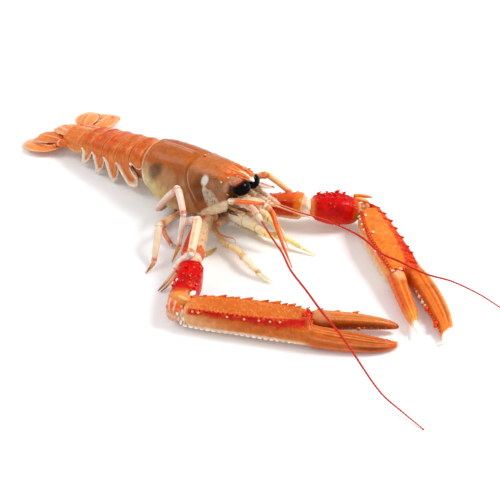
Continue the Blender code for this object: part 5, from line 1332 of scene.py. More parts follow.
# ---------------- right palm with its fixed finger
P, A, B, S, Tt = claw_grid(CLAW_R, PALM_R, 128, 320, 2.9, True)
Z = P[..., 2].copy()
palm = 1 - smooth(S, 49, 54)
finger = 1 - palm
keel_t = np.interp(S, [2.8, 14, 28, 40, 51], [0.6, 1.6, 2.4, 2.4, 0.6])
keel_z = np.interp(S, [2.8, 8, 28, 51], [9.8, 11.0, 11.2, 10.4])
keel = bell(Tt, keel_t, 0.85) * (B > 0.35) * palm * smooth(S, 1.5, 5)
m = fbm(P, 3.0, 9)
# the red band: sharp towards the top, fading down the outer side
band_w = np.interp(S, [3, 12, 30, 45, 51], [1.3, 1.9, 2.6, 3.2, 3.6])
down = np.hypot(np.maximum(Tt - keel_t, 0), np.maximum(keel_z - Z, 0)) + 1.2 * (m - 0.5)
inward = (keel_t - Tt) + 0.8 * (fbm(P, 1.5, 19) - 0.5)
red_band = np.where(Tt > keel_t, 1 - smooth(down, 0.45 * band_w, 1.5 * band_w), 1 - smooth(inward, 0.4, 1.1 + 0.35 * np.interp(S, [10, 51], [0, 2.5]))) * palm * (B > -0.2) * (A > -0.4) * smooth(S, 1.6, 4)
low_row = bell(Z, np.interp(S, [2, 28, 52, 80], [3.1, 3.4, 3.0, 2.4]), 0.8) * (A > 0.6)
top = smooth(B, 0.35, 0.7)
gran = grains(P, 0.95, 3, 0.85)
fine = grains(P, 0.62, 13, 0.8)
lift = 0.60 * keel + 0.20 * gran * top * palm * (1 - keel) + 0.09 * fine * top * palm + 0.07 * grains(P, 0.8, 5, 0.6) * (1 - top)
lift += 0.30 * low_row * (1 - smooth(S, 76, 84)) + 0.16 * (fbm(P, 4.0, 5) - 0.5)
lift -= 0.30 * bell(Tt, keel_t - 2.1, 0.9) * (B > 0.4) * palm * smooth(S, 4, 10)
lift -= 0.30 * bell(B, 0.0, 0.35) * (A > 0.5) * palm * smooth(S, 6, 14)
lift += 0.28 * gran * smooth(S, 48.4, 50.0) * (1 - smooth(S, 52.4, 53.4)) * (Tt < 2.5) * (B > -0.2)
fl = [(-0.25, -0.1, 54, 84, 0.13, -0.40, 1), (0.20, 0.25, 54, 84, 0.10, -0.30, 1), (0.60, 0.62, 54, 83, 0.12, -0.38, 1)]
lift += grooves(A, B, S, fl)
lift -= 0.34 * bell(B, 0.15, 0.22) * (A > 0.3) * smooth(S, 55, 60) * (1 - smooth(S, 80, 86))
lift -= 0.20 * bell(B, -0.35, 0.12) * (A > 0.3) * smooth(S, 57, 62) * (1 - smooth(S, 80, 86))
P = push(P, lift * (1 - smooth(S, 84, 87)))
c = np.broadcast_to(rgb(222, 122, 58), P.shape).copy()
c = over(c, rgb(194, 88, 34), (1 - smooth(gran, 0.15, 0.5)) * top * palm * 0.62)
c = over(c, rgb(242, 164, 104), smooth(gran, 0.5, 0.9) * top * palm * 0.6)
c = over(c, rgb(206, 92, 34), smooth(m, 0.48, 0.68) * top * 0.5)
c = over(c, rgb(232, 136, 68), bell(A, -0.85, 0.25) * top * palm * 0.5)
c = over(c, rgb(224, 132, 76), top * palm * (1 - smooth(S, 2, 10)) * 0.6)
side_face = smooth(A, 0.55, 0.85) * (1 - smooth(B, 0.45, 0.75))
c = over(c, rgb(206, 108, 48), side_face)
c = over(c, rgb(188, 84, 34), side_face * smooth(fbm(P, 2.0, 29), 0.46, 0.62) * 0.5)
c = over(c, rgb(226, 164, 114), side_face * (1 - smooth(S + 10 * B, 3, 26)) * 0.92)
c = over(c, rgb(236, 198, 164), side_face * (1 - smooth(B, -0.65, -0.2)) * (1 - smooth(S, 14, 40)) * 0.75)
c = over(c, rgb(202, 92, 36), side_face * smooth(S, 40, 60) * 0.5)
c = over(c, rgb(226, 154, 76), side_face * bell(B, -0.45, 0.26) * smooth(S, 16, 32) * 0.85)
c = over(c, rgb(196, 26, 6), red_band * 0.96)
c = over(c, rgb(150, 20, 8), red_band * smooth(fbm(P, 1.2, 39), 0.52, 0.68) * 0.4)
# pinkish line along the keel: painted highlight
c = over(c, rgb(238, 112, 84), bell(Tt, keel_t - 0.1, 0.32) * (B > 0.4) * palm * smooth(S, 3, 8) * smooth(fbm(P, 2.2, 49), 0.42, 0.55) * 0.7)
c = over(c, rgb(196, 16, 8), smooth(S, 47.4, 49.4) * (1 - smooth(S, 53.0, 54.2)) * (Tt < 3.0) * (B > -0.3) * smooth(fbm(P, 1.8, 59), 0.30, 0.45) * 0.9)
c = over(c, rgb(238, 206, 186), smooth(low_row, 0.15, 0.7) * (1 - smooth(S, 46, 60)) * 0.8)
c = over(c, rgb(228, 176, 146), smooth(low_row, 0.25, 0.8) * smooth(S, 46, 60) * (1 - smooth(S, 74, 84)) * 0.75)
c = over(c, rgb(230, 182, 152), (1 - smooth(B, -0.9, -0.55)) * 0.8)
c = over(c, rgb(242, 212, 184), (1 - smooth(B, -1.0, -0.85)) * 0.7)
# the finger: ribbed, darker in the furrows, brown near its end
c = over(c, rgb(196, 92, 38), finger * 0.75)
c = over(c, rgb(226, 136, 80), finger * np.clip(bell(A, 0.03, 0.10) + bell(A, 0.42, 0.09), 0, 1) * (B > 0.1) * 0.7)
c = over(c, rgb(150, 60, 24), finger * np.clip(bell(A, -0.18, 0.08) + bell(A, 0.22, 0.07) + bell(A, 0.61, 0.08), 0, 1) * (B > 0) * smooth(S, 55, 62) * (1 - smooth(S, 82, 86)) * 0.75)
c = over(c, rgb(140, 54, 20), finger * spot(S, 10 * B, 76.5, 0.5, 6.5, 3.4, 0, 0.5) * (A > 0.0) * 0.8)
c = over(c, rgb(232, 142, 92), finger * bell(B, 0.52, 0.12) * (A > 0.4) * 0.6)
c = over(c, rgb(214, 78, 30), finger * bell(B, -0.5, 0.12) * (A > 0.3) * 0.6)
c = over(c, rgb(216, 88, 30), smooth(S, 81, 85) * 0.7)
c = over(c, rgb(253, 246, 234), smooth(S, 85.6, 86.8))
c = over(c, rgb(238, 176, 122), (1 - smooth(S, 1.2, 3.4)) * 0.9)
c = c * (1 + 0.20 * (fbm(P, 1.3, 12) - 0.5))[..., None]
p = Piece("claw_palm_r", ["palm_r"], "claw_orange", LOOK["claw"])
p.grid(P, c, 0.35 + 0.6 * np.clip(red_band + keel, 0, 1))
TOOTH, TOOTH_TIP = rgb(224, 102, 42), rgb(244, 152, 84)
for n, (s, t, size) in enumerate([(6.0, -8.4, 0.7), (9.3, -8.9, 1.0), (12.4, -9.2, 0.95), (14.6, -9.3, 0.6), (17.1, -9.9, 1.15), (20.4, -9.8, 0.9), (22.9, -9.9, 1.0), (25.2, -9.7, 0.6), (27.8, -9.9, 1.2), (30.8, -9.5, 0.6),
                                  (34.5, -9.5, 1.05), (36.9, -9.4, 0.65), (39.4, -9.4, 1.15), (42.6, -9.0, 0.8), (45.5, -8.8, 1.05), (48.2, -8.2, 0.8)]):
    saw_tooth(p, claw_point(CLAW_R, s - 1.9, t + 0.5, 9.9), claw_way(CLAW_R, 0.80, -0.12, 0.66), 2.2 * size, 1.08 * size, TOOTH, rgb(214, 60, 24) if n % 3 == 1 else TOOTH_TIP)
for n, s in enumerate(np.arange(4.5, 50.5, 1.9)):
    t = float(np.interp(s, [2.8, 14, 28, 40, 51], [0.6, 1.6, 2.4, 2.4, 0.6]))
    z = float(np.interp(s, [2.8, 8, 28, 51], [9.9, 11.2, 11.5, 10.7]))
    p.cone(claw_point(CLAW_R, s - 0.3, t, z - 0.15), claw_way(CLAW_R, 0.95, 0.1, 0.30), 1.0, 0.45 + 0.2 * scatter(n, 1, 1, 1), rgb(200, 30, 10), rgb(226, 84, 44), around=8)
for s, t in [(5.1, 1.6), (7.5, 1.9), (19.2, 2.8), (26.0, 3.2), (31.8, 3.2), (36.2, 3.2), (40.0, 2.9)]:
    p.bead(claw_point(CLAW_R, s, t + 0.2, 10.7), (0.55, 0.5, 0.4), rgb(244, 168, 106), 0.9)
for n, s in enumerate(np.arange(1.8, 47.0, 2.35)):
    t = float(np.interp(s, [1.5, 9, 14, 20, 26, 37, 47], [1.2, 2.3, 2.6, 2.9, 3.5, 4.6, 5.3]))
    k = 1.0 - 0.4 * smooth(s, 28, 47)
    p.bead(claw_point(CLAW_R, s, t + 0.36, 2.85), (1.0 * k, 0.55 * k, 0.64 * k), rgb(252, 242, 232), 1.0,
           axes=[claw_way(CLAW_R, 1, 0.08, 0), claw_way(CLAW_R, -0.08, 1, 0), UP])
# red granules round the finger's joint
for n in range(46):
    s = 48.6 + 4.0 * scatter(n, 2, 3, 41)
    t = -8.6 + 10.6 * scatter(n, 5, 3, 43)
    z = float(np.interp(s, [48.6, 50.6, 52.6], [10.6, 10.2, 9.0])) - 0.05 * abs(t + 2.5) ** 1.3 * 0.3
    r = 0.34 + 0.3 * scatter(n, 7, 3, 47)
    p.bead(claw_point(CLAW_R, s, t, z), (r, r, 0.8 * r), rgb(206, 30, 12) if n % 4 else rgb(228, 96, 48), 0.9, rings=5, around=8)
for n, s in enumerate(np.arange(56.0, 85.0, 1.0)):
    t = float(np.interp(s, [53, 60, 70, 77, 82, 85], [-1.3, -0.8, -0.8, -0.6, -0.4, -0.5]))
    z = float(np.interp(s, [53, 70, 85, 88], [5.6, 4.6, 3.2, 2.7]))
    k = 0.7 + 0.6 * scatter(n, 4, 4, 4) + 0.8 * (n % 4 == 2)
    p.bead(claw_point(CLAW_R, s, t, z), (0.42 * k, 0.46 * k, 0.45 * k), rgb(206, 92, 36) if n % 3 else rgb(226, 122, 60), 0.6, rings=5, around=8)
p.done()

# ---------------- right movable finger
P, A, B, S, Tt = claw_grid(CLAW_R, DACT_R, 72, 190, 2.5, True)
lift = grooves(A, B, S, [(0.12, 0.05, 54, 84, 0.16, -0.40, 1), (-0.50, -0.45, 55, 82, 0.12, -0.30, 1), (0.60, 0.55, 56, 80, 0.10, -0.25, 1)])
lift += 0.24 * bell(A, -0.22, 0.14) * (B > 0) * smooth(S, 54, 58) * (1 - smooth(S, 80, 85))
lift += 0.10 * grains(P, 0.8, 8, 0.6) + 0.12 * (fbm(P, 3, 5) - 0.5)
P = push(P, lift)
c = np.broadcast_to(rgb(212, 122, 60), P.shape).copy()
c = over(c, rgb(226, 96, 42), bell(A, -0.85, 0.22) * (B > -0.2) * (1 - smooth(S, 62, 76)) * 0.75)
c = over(c, rgb(234, 152, 94), bell(A, -0.25, 0.18) * (B > 0.2) * 0.7)
c = over(c, rgb(190, 90, 42), bell(A, 0.14, 0.14) * (B > 0) * 0.7)
c = over(c, rgb(216, 128, 72), bell(A, 0.40, 0.12) * (B > 0) * 0.6)
c = over(c, rgb(164, 70, 32), smooth(A, 0.62, 0.9) * 0.85)
c = over(c, rgb(122, 46, 22), smooth(A, 0.93, 1.0) * 0.6)
c = over(c, rgb(200, 40, 20), (1 - smooth(S, 51.6, 53.0)) * 0.85)
c = over(c, rgb(202, 128, 90), spot(S, Tt, 56.0, -4.6, 3.4, 2.6, 0, 0.5) * (B > -0.2) * 0.9)
c = over(c, rgb(206, 92, 38), smooth(S, 80, 85) * 0.7)
c = over(c, rgb(134, 54, 28), smooth(S, 85.0, 86.2) * 0.85)
c = c * (1 + 0.20 * (fbm(P, 1.3, 12) - 0.5))[..., None]
p = Piece("claw_finger_r", ["dactylus_r"], "claw_orange", LOOK["claw"])
p.grid(P, c, 0.5)
for s, t in [(55.6, -8.9), (62.2, -9.4), (69.8, -10.7)]:
    saw_tooth(p, claw_point(CLAW_R, s - 0.9, t + 0.4, 9.0 - 0.09 * (s - 54)), claw_way(CLAW_R, 0.8, -0.2, 0.55), 2.0, 0.9, rgb(222, 110, 52), rgb(236, 148, 90))
for n, s in enumerate(np.arange(58.5, 84.0, 0.95)):
    t = float(np.interp(s, [53, 62, 70, 79, 85, 88], [-1.9, -3.4, -5.2, -6.9, -8.2, -8.8]))
    z = float(np.interp(s, [53, 70, 85, 88], [5.4, 4.6, 3.4, 3.1]))
    k = 0.55 + 0.6 * scatter(n, 9, 4, 4)
    p.bead(claw_point(CLAW_R, s, t, z), (0.42 * k, 0.42 * k, 0.5 * k), rgb(150, 62, 28) if n % 3 else rgb(200, 104, 54), 0.6, rings=5, around=8)
p.bead(claw_point(CLAW_R, 70.6, -5.0, 4.2), (0.9, 0.8, 0.9), rgb(206, 112, 60), 0.7)
p.done()

# ---------------- left palm with its fixed finger (the crusher)
P, A, B, S, Tt = claw_grid(CLAW_L, PALM_L, 128, 320, 2.9, False)
Z = P[..., 2].copy()
palm = 1 - smooth(S, 46, 51)
finger = 1 - palm
k1_t = np.interp(S, [2, 14, 24, 36, 48], [-1.4, -4.6, -6.2, -6.6, -6.4])
k2_t = np.interp(S, [0.6, 10, 24, 40, 49.5], [5.8, 6.6, 6.2, 6.0, 4.6])
k1 = bell(Tt, k1_t, 0.75) * (B > 0.30) * palm * smooth(S, 2, 5)
k2 = bell(Tt, k2_t, 0.9) * (B > 0.30) * smooth(S, 1, 5) * (1 - smooth(S, 50, 60))
top = smooth(B, 0.35, 0.7)
gran = grains(P, 0.95, 3, 0.85)
fine = grains(P, 0.62, 13, 0.8)
m = fbm(P, 3.0, 9)
lift = 0.50 * k1 + 0.45 * k2 + 0.20 * gran * top * palm + 0.09 * fine * top * palm + 0.07 * grains(P, 0.8, 5, 0.6) * (1 - top) + 0.16 * (fbm(P, 4.0, 5) - 0.5)
lift += grooves(A, B, S, [(0.30, 0.36, 50, 82, 0.16, -0.50, 1), (-0.35, -0.3, 52, 80, 0.12, -0.30, 1), (-0.02, 0.02, 52, 80, 0.08, -0.22, 1)])
lift += 0.30 * bell(A, 0.72, 0.14) * (B > 0) * smooth(S, 50, 54) * (1 - smooth(S, 78, 83))
P = push(P, lift * (1 - smooth(S, 84, 87)))
c = np.broadcast_to(rgb(238, 134, 54), P.shape).copy()
c = over(c, rgb(212, 100, 34), (1 - smooth(gran, 0.15, 0.5)) * top * palm * 0.40)
c = over(c, rgb(250, 178, 100), smooth(gran, 0.5, 0.9) * top * palm * 0.55)
c = over(c, rgb(214, 96, 32), smooth(m, 0.5, 0.7) * top * 0.45)
# red band with a ragged inner border along the outer edge, widening towards the fingers
red_in = np.interp(S, [0, 6, 16, 26, 36, 44, 50], [0.6, 1.4, 2.2, 2.8, 3.4, 4.6, 6.0])
outer_d = (Tt - (k2_t - red_in)) + 1.6 * (fbm(P, 1.8, 19) - 0.5)
red_band = smooth(outer_d, -0.4, 0.8) * (B > -0.3) * smooth(S, 1.0, 4.0) * (1 - smooth(S, 49.5, 52.0))
c = over(c, rgb(222, 66, 22), red_band * 0.85)
c = over(c, rgb(204, 26, 12), red_band * smooth(S, 18, 34) * smooth(fbm(P, 1.3, 23), 0.30, 0.5) * 0.8)
c = over(c, rgb(236, 120, 54), red_band * smooth(fbm(P, 0.9, 27), 0.56, 0.68) * 0.5)
c = over(c, rgb(218, 56, 18), smooth(k1 + 0.25 * (fbm(P, 0.9, 31) - 0.5), 0.30, 0.6) * 0.9)
c = over(c, rgb(204, 20, 12), bell(S, 48.4 - 0.12 * (Tt - 1.0), 0.7) * (Tt > -3.4) * (B > 0.2) * 0.9)
c = over(c, rgb(204, 20, 12), bell(S - 49.5 - 0.9 * (Tt - 2.2), 0, 1.0) * (Tt > 0.6) * (Tt < 5.6) * (B > 0.1) * 0.9)
inner = (1 - smooth(A, -0.9, -0.62)) * (1 - smooth(B, 0.3, 0.6))
c = over(c, rgb(236, 166, 104), inner * palm)
c = over(c, rgb(242, 206, 164), inner * palm * (1 - smooth(B, -0.4, 0.2)) * 0.85)
c = over(c, rgb(224, 112, 50), inner * palm * (1 - smooth(np.abs(B - 0.25), 0.05, 0.22)) * 0.5)
c = over(c, rgb(236, 170, 112), smooth(A, 0.75, 0.95) * (1 - smooth(B, -0.4, 0.1)) * 0.8)
c = over(c, rgb(238, 200, 160), (1 - smooth(B, -0.9, -0.55)) * 0.85)
# finger ribs and its dark groove
c = over(c, rgb(226, 108, 42), finger * 0.7)
c = over(c, rgb(240, 152, 86), finger * bell(A, 0.10, 0.12) * (B > 0.1) * 0.6)
c = over(c, rgb(242, 172, 108), finger * smooth(A, 0.48, 0.66) * (B > 0.0) * 0.85)
c = over(c, rgb(206, 72, 26), finger * bell(A, 0.20, 0.06) * (B > 0.1) * 0.6)
c = over(c, rgb(206, 80, 30), finger * bell(A, -0.18, 0.08) * (B > 0.1) * 0.6)
c = over(c, rgb(132, 88, 62), finger * bell(A, 0.34 + 0.0 * S, 0.085) * (B > 0) * smooth(S, 56, 62) * (1 - smooth(S, 80, 84)) * 0.92)
c = over(c, rgb(184, 66, 30), finger * (1 - smooth(A, -1.0, -0.7)) * 0.55)
c = over(c, rgb(240, 130, 50), smooth(S, 78, 81) * 0.6)
c = over(c, rgb(253, 246, 232), smooth(S + 0.35 * Tt, 83.2, 84.6))
c = over(c, rgb(240, 170, 104), (1 - smooth(S, 1.2, 3.6)) * 0.9)
c = c * (1 + 0.20 * (fbm(P, 1.3, 12) - 0.5))[..., None]
p = Piece("claw_palm_l", ["palm_l"], "claw_orange", LOOK["claw"])
p.grid(P, c, 0.4 + 0.5 * np.clip(k1 + k2 + red_band, 0, 1))
for n, (s, t, size) in enumerate([(0.9, 5.0, 0.8), (3.6, 6.1, 1.0), (6.2, 6.6, 0.65), (8.9, 7.0, 1.0), (11.9, 7.1, 0.6), (15.1, 7.1, 1.15), (18.2, 6.9, 0.6), (21.2, 6.8, 1.1), (24.8, 6.7, 0.65), (28.3, 6.6, 1.1), (32.0, 6.4, 0.65),
                                  (35.3, 6.3, 0.95), (39.8, 6.1, 0.95), (43.6, 5.6, 0.65), (47.0, 4.9, 0.8)]):
    saw_tooth(p, claw_point(CLAW_L, s - 1.2, t - 0.9, 10.3), claw_way(CLAW_L, 0.72, 0.62, 0.50), 2.9 * size, 1.35 * size, rgb(216, 50, 20), rgb(224, 74, 30))
for n, s in enumerate(np.arange(3.0, 47.5, 1.75)):
    t = float(np.interp(s, [2, 14, 24, 36, 48], [-1.4, -4.6, -6.2, -6.6, -6.4]))
    z = float(np.interp(s, [2, 8, 30, 47], [9.6, 10.9, 11.4, 10.5]))
    k = 0.8 + 0.5 * scatter(n, 3, 9, 2)
    p.cone(claw_point(CLAW_L, s - 0.3, t - 0.1, z - 0.35), claw_way(CLAW_L, 0.75, -0.45, 0.5), 1.25 * k, 0.6 * k, rgb(214, 62, 22), rgb(236, 116, 52), around=8)
for s, t, z in [(0.7, -1.0, 9.6), (5.1, -3.7, 9.4), (8.1, -4.5, 9.8), (7.6, -1.9, 11.3), (12.0, -5.3, 9.9), (16.0, -5.9, 9.7), (21.6, -4.2, 11.7), (32.4, -7.2, 9.6), (37.8, -6.3, 10.6), (2.8, -3.0, 7.6)]:
    p.bead(claw_point(CLAW_L, s, t, z - 0.1), (0.62, 0.62, 0.55), rgb(252, 242, 230), 1.0)
# molar teeth of the crusher
for n, (s, t, r, col) in enumerate([(56.4, 1.0, 0.6, 0), (58.2, 0.7, 0.7, 0), (60.0, 0.9, 0.6, 0), (61.4, 0.3, 0.8, 0), (63.4, 0.7, 0.6, 0), (64.8, 0.1, 0.8, 0), (66.8, 0.4, 0.7, 0), (68.9, 0.2, 1.2, 1), (70.6, 0.9, 0.7, 1), (72.2, 0.3, 0.7, 1),
                                    (74.2, 0.9, 0.6, 1), (75.6, 0.2, 0.7, 1), (77.6, 0.0, 1.2, 1), (78.8, -0.9, 0.8, 1), (79.6, 0.4, 0.7, 1), (81.8, -0.3, 0.6, 1)]):
    z = float(np.interp(s, [56, 70, 82], [5.2, 4.4, 3.4]))
    cl = rgb(244, 210, 184) if col == 0 else rgb(220, 74, 28)
    p.bead(claw_point(CLAW_L, s, t, z), (r, r, 0.95 * r), cl, 0.8, rings=9, around=14)
p.done()

# ---------------- left movable finger
P, A, B, S, Tt = claw_grid(CLAW_L, DACT_L, 72, 190, 2.5, False)
lift = grooves(A, B, S, [(0.05, 0.1, 51, 76, 0.14, -0.36, 1), (-0.55, -0.5, 52, 76, 0.12, -0.28, 1)])
lift += 0.24 * bell(A, 0.45, 0.16) * (B > 0) * smooth(S, 50, 54) * (1 - smooth(S, 72, 77))
lift += 0.24 * bell(A, -0.28, 0.14) * (B > 0) * smooth(S, 50, 54) * (1 - smooth(S, 72, 77))
lift += 0.08 * grains(P, 0.8, 8, 0.6) + 0.12 * (fbm(P, 3, 5) - 0.5)
P = push(P, lift * (1 - smooth(S, 76, 80)))
c = np.broadcast_to(rgb(232, 112, 38), P.shape).copy()
c = over(c, rgb(222, 76, 26), bell(A, -0.75, 0.2) * (B > -0.3) * 0.75)
c = over(c, rgb(242, 152, 76), bell(A, -0.28, 0.16) * (B > 0.1) * 0.6)
c = over(c, rgb(216, 82, 28), bell(A, 0.08, 0.10) * (B > 0) * 0.7)
c = over(c, rgb(240, 150, 84), bell(A, 0.42, 0.14) * (B > 0.1) * 0.6)
# pale spot at the finger's root: painted highlight
c = over(c, rgb(242, 176, 122), spot(S, Tt, 51.0, -4.6, 3.4, 2.6, 0, 0.5) * (B > 0.2) * 0.8)
c = over(c, rgb(206, 110, 60), smooth(A, 0.78, 0.98) * 0.7)
c = over(c, rgb(244, 170, 70), smooth(S, 67, 73) * 0.6)
c = over(c, rgb(253, 248, 236), smooth(S, 74.6, 77.6))
c = over(c, rgb(214, 46, 24), bell(S, 48.8, 0.7) * 0.7)
c = c * (1 + 0.20 * (fbm(P, 1.3, 12) - 0.5))[..., None]
p = Piece("claw_finger_l", ["dactylus_l"], "claw_orange", LOOK["claw"])
p.grid(P, c, 0.5)
for s, t, r in [(55.6, -2.6, 0.8), (58.6, -2.9, 0.9), (62.4, -3.7, 1.1), (64.6, -3.9, 0.7), (68.2, -4.9, 1.15), (71.0, -5.5, 0.6), (73.4, -6.4, 0.45)]:
    z = float(np.interp(s, [55, 76], [5.6, 4.2]))
    p.bead(claw_point(CLAW_L, s, t, z), (r, r, r), rgb(236, 138, 62) if r < 1 else rgb(236, 128, 44), 0.8, rings=9, around=14)
for s, t in ((48.4, -6.4), (49.6, -4.6), (48.2, -2.8), (50.8, -6.2)):
    p.bead(claw_point(CLAW_L, s, t, 10.3), (0.95, 0.8, 0.6), rgb(244, 186, 150), 0.8, rings=8, around=12)
for n in range(16):
    s, t = 47.2 + 2.0 * scatter(n, 2, 3, 61), -7.6 + 9.0 * scatter(n, 5, 3, 63)
    p.bead(claw_point(CLAW_L, s, t, 10.4), (0.42, 0.42, 0.34), rgb(220, 64, 28), 0.9, rings=5, around=8)
p.done()


# ================================================================ walking legs
def leg(name, rows, cuts, paint, claw=None, look="leg", slot="leg_pink", knees=1.0, soft=(244, 222, 200)):
    """rows are x, y, z, half width. cuts are the row numbers where one joint ends and the next begins.
    Each joint swells at its far end and narrows where it begins; pale skin shows between."""
    rows = np.array(rows, float)
    p = Piece(name, [name], slot, LOOK[look])
    cuts = [0, *cuts, len(rows) - 1]
    for n, (a, b) in enumerate(zip(cuts, cuts[1:])):
        part = rows[a:b + 1]
        d = np.array([(x, y, z, r, 1.08 * r) for x, y, z, r in part])
        if len(d) == 2:
            d = np.array([d[0], 0.5 * (d[0] + d[1]), d[1]])
        length = np.linalg.norm(np.diff(d[:, :3], axis=0), axis=1).sum()
        P, A, B, T, data, sv, tv = ringset(d, 28, max(30, int(length * 3.2)), 2.1, up=(0.35, 0.05, 1.0))
        last = b == len(rows) - 1
        lift = -0.16 * part[0, 3] * (1 - smooth(T, 0.0, 0.10)) * (n > 0)
        r_end = part[-1, 3]
        if not last:
            lift = lift + 0.16 * r_end * bell(T, 0.94, 0.05) * knees - 0.5 * r_end * smooth(T, 0.975, 1.0)
        lift = lift - 0.10 * part[:, 3].max() * (np.abs(A) < 0.22) * (B > 0) * (T > 0.12) * (T < 0.88)
        lift = lift + 0.10 * (fbm(P, 1.6, 5 + n) - 0.5)
        P = push(P, lift)
        P[..., 2] = np.maximum(P[..., 2], 0.16)
        c = paint(n, P, A, B, T)
        if not last:
            c = over(c, rgb(*soft), smooth(T, 0.965, 0.99) * 0.7)
        c = c * (1 + 0.14 * (fbm(P, 1.0, 9) - 0.5))[..., None]
        p.grid(P, c, 0.45)
        if n:
            # soft skin in the joint
            r = part[0, 3]
            p.bead(part[0, :3], (0.86 * r, 0.86 * r, 0.86 * r), rgb(*soft), 0.5, rings=8, around=12)
    if claw:
        for pts, col, tipc in claw:
            d = np.array([(x, y, z, r, r) for x, y, z, r in pts])
            P, A, B, T, *_ = ringset(d, 14, 40, 2.0, up=(0.35, 0.05, 1.0))
            p.grid(P, over(np.broadcast_to(col, P.shape), tipc, smooth(T, 0.3, 1.0)), 0.5)
    return p


def plain_paint(base, dark, red=None, tip=None, red_at=0.93, streak=None):
    """Shell colour of a leg: base with a darker underside, red near each joint's end, tip colour on the last joint."""
    def paint(n, P, A, B, T):
        c = np.broadcast_to(base[min(n, len(base) - 1)], P.shape).copy()
        c = over(c, dark, (1 - smooth(B, -0.9, 0.1)) * 0.5)
        m = fbm(P, 1.4, 33)
        if streak is not None:
            c = over(c, streak[0], bell(A, streak[1], 0.25) * smooth(m, 0.3, 0.5) * 0.8 * (n in streak[2]))
        if red is not None:
            c = over(c, red, bell(T, red_at, 0.07) * smooth(m, 0.36, 0.54) * 0.9)
            c = over(c, red, (1 - smooth(T, 0.02, 0.09)) * smooth(m, 0.42, 0.6) * 0.6 * (n > 0))
        if tip is not None and n == len(base) - 1:
            c = over(c, tip, smooth(T, 0.1, 0.7))
        return c
    return paint


PINKW = rgb(238, 214, 198)
leg("leg_5_r", [(15.0, -7.4, 4.6, 1.3), (16.0, -15.0, 3.9, 1.3), (18.6, -20.0, 7.4, 1.35), (27.0, -20.9, 17.4, 1.5), (35.0, -21.7, 25.7, 1.6),
                (40.0, -25.0, 22.4, 1.5), (44.2, -28.0, 18.8, 1.35), (45.4, -31.4, 11.6, 1.25), (46.2, -34.2, 5.4, 1.0), (47.0, -39.4, 0.6, 0.25)],
    [2, 4, 6, 8], plain_paint([rgb(206, 170, 140), rgb(228, 200, 184), rgb(236, 208, 190), rgb(240, 220, 202), rgb(206, 160, 90)], rgb(206, 140, 118),
                              rgb(214, 84, 66), rgb(196, 146, 70), streak=(rgb(232, 156, 126), 0.5, (1, 2)))).done()
leg("leg_4_r", [(24.6, -7.4, 5.0, 1.4), (26.4, -14.0, 4.3, 1.3), (30.4, -24.0, 8.2, 1.5), (35.4, -35.2, 12.6, 1.75),
                (39.6, -41.2, 7.4, 1.55), (43.0, -46.6, 2.4, 1.1), (44.0, -52.4, 0.6, 0.25)],
    [1, 3, 5], plain_paint([rgb(214, 176, 140), rgb(222, 184, 142), rgb(228, 208, 180), rgb(206, 158, 120)], rgb(196, 150, 104),
                           rgb(222, 96, 54), rgb(176, 120, 78), streak=(rgb(222, 132, 66), 0.1, (1,))), slot="leg_cream").done()
leg("leg_3_r", [(32.6, -7.6, 5.0, 1.4), (35.2, -14.6, 4.4, 1.4), (38.6, -21.6, 9.2, 1.6), (47.0, -25.8, 16.0, 1.8), (54.2, -29.2, 20.6, 1.95),
                (60.6, -38.4, 19.3, 1.85), (65.5, -45.5, 17.3, 1.65), (60.4, -47.6, 11.6, 1.4), (58.9, -48.6, 8.0, 1.25)],
    [2, 4, 6], plain_paint([rgb(222, 186, 160), rgb(240, 220, 206), rgb(242, 216, 184), rgb(244, 216, 204)], rgb(220, 170, 146),
                           rgb(224, 92, 66), None, red_at=0.95, streak=(rgb(240, 152, 84), -0.5, (2,))),
    claw=[([(58.9, -48.6, 8.0, 1.0), (58.0, -51.6, 5.0, 0.8), (57.4, -54.6, 2.4, 0.6), (56.9, -57.8, 0.7, 0.2)], rgb(244, 210, 184), rgb(150, 98, 60)),
          ([(59.6, -48.2, 7.4, 0.9), (59.4, -51.4, 4.6, 0.7), (59.0, -54.4, 2.3, 0.5), (58.3, -57.4, 0.8, 0.18)], rgb(240, 200, 170), rgb(140, 92, 58))]).done()
leg("leg_2_r", [(39.6, -7.2, 4.8, 1.3), (47.6, -11.4, 3.0, 1.25), (56.0, -15.6, 3.4, 1.3), (61.6, -17.4, 4.4, 1.5), (66.6, -18.2, 4.9, 1.5),
                (72.7, -20.4, 5.0, 1.5), (77.6, -21.8, 4.4, 1.4), (83.0, -22.1, 2.8, 1.2)],
    [1, 3, 5], plain_paint([rgb(226, 194, 152), rgb(236, 206, 158), rgb(240, 214, 164), rgb(248, 236, 204)], rgb(228, 196, 120),
                           rgb(226, 150, 70), None, streak=(rgb(222, 188, 112), 0.75, (2,))), slot="leg_cream",
    claw=[([(82.4, -21.4, 2.9, 1.0), (86.0, -21.6, 2.0, 0.75), (91.2, -21.0, 0.9, 0.22)], rgb(250, 244, 216), rgb(252, 250, 226)),
          ([(82.6, -22.8, 2.6, 0.9), (86.0, -22.9, 1.7, 0.65), (90.6, -22.4, 0.8, 0.2)], rgb(246, 234, 196), rgb(252, 246, 218))]).done()
leg("leg_2_l", [(34.0, 13.2, 4.0, 1.2), (35.4, 16.6, 7.4, 1.3), (42.6, 17.8, 14.2, 1.45), (50.2, 16.4, 20.8, 1.5), (54.2, 18.0, 22.2, 1.45),
                (58.4, 20.6, 18.4, 1.35), (63.0, 23.6, 13.6, 1.2), (64.6, 29.0, 8.0, 1.0), (65.2, 34.0, 3.6, 0.7), (65.6, 37.6, 0.6, 0.25)],
    [1, 4, 6, 8], plain_paint([rgb(236, 186, 140), rgb(242, 176, 118), rgb(246, 198, 142), rgb(250, 216, 168), rgb(252, 228, 190)], rgb(232, 148, 90),
                              rgb(222, 104, 50), rgb(248, 222, 176), streak=(rgb(246, 208, 156), 0.2, (2, 3))), soft=(240, 156, 88)).done()
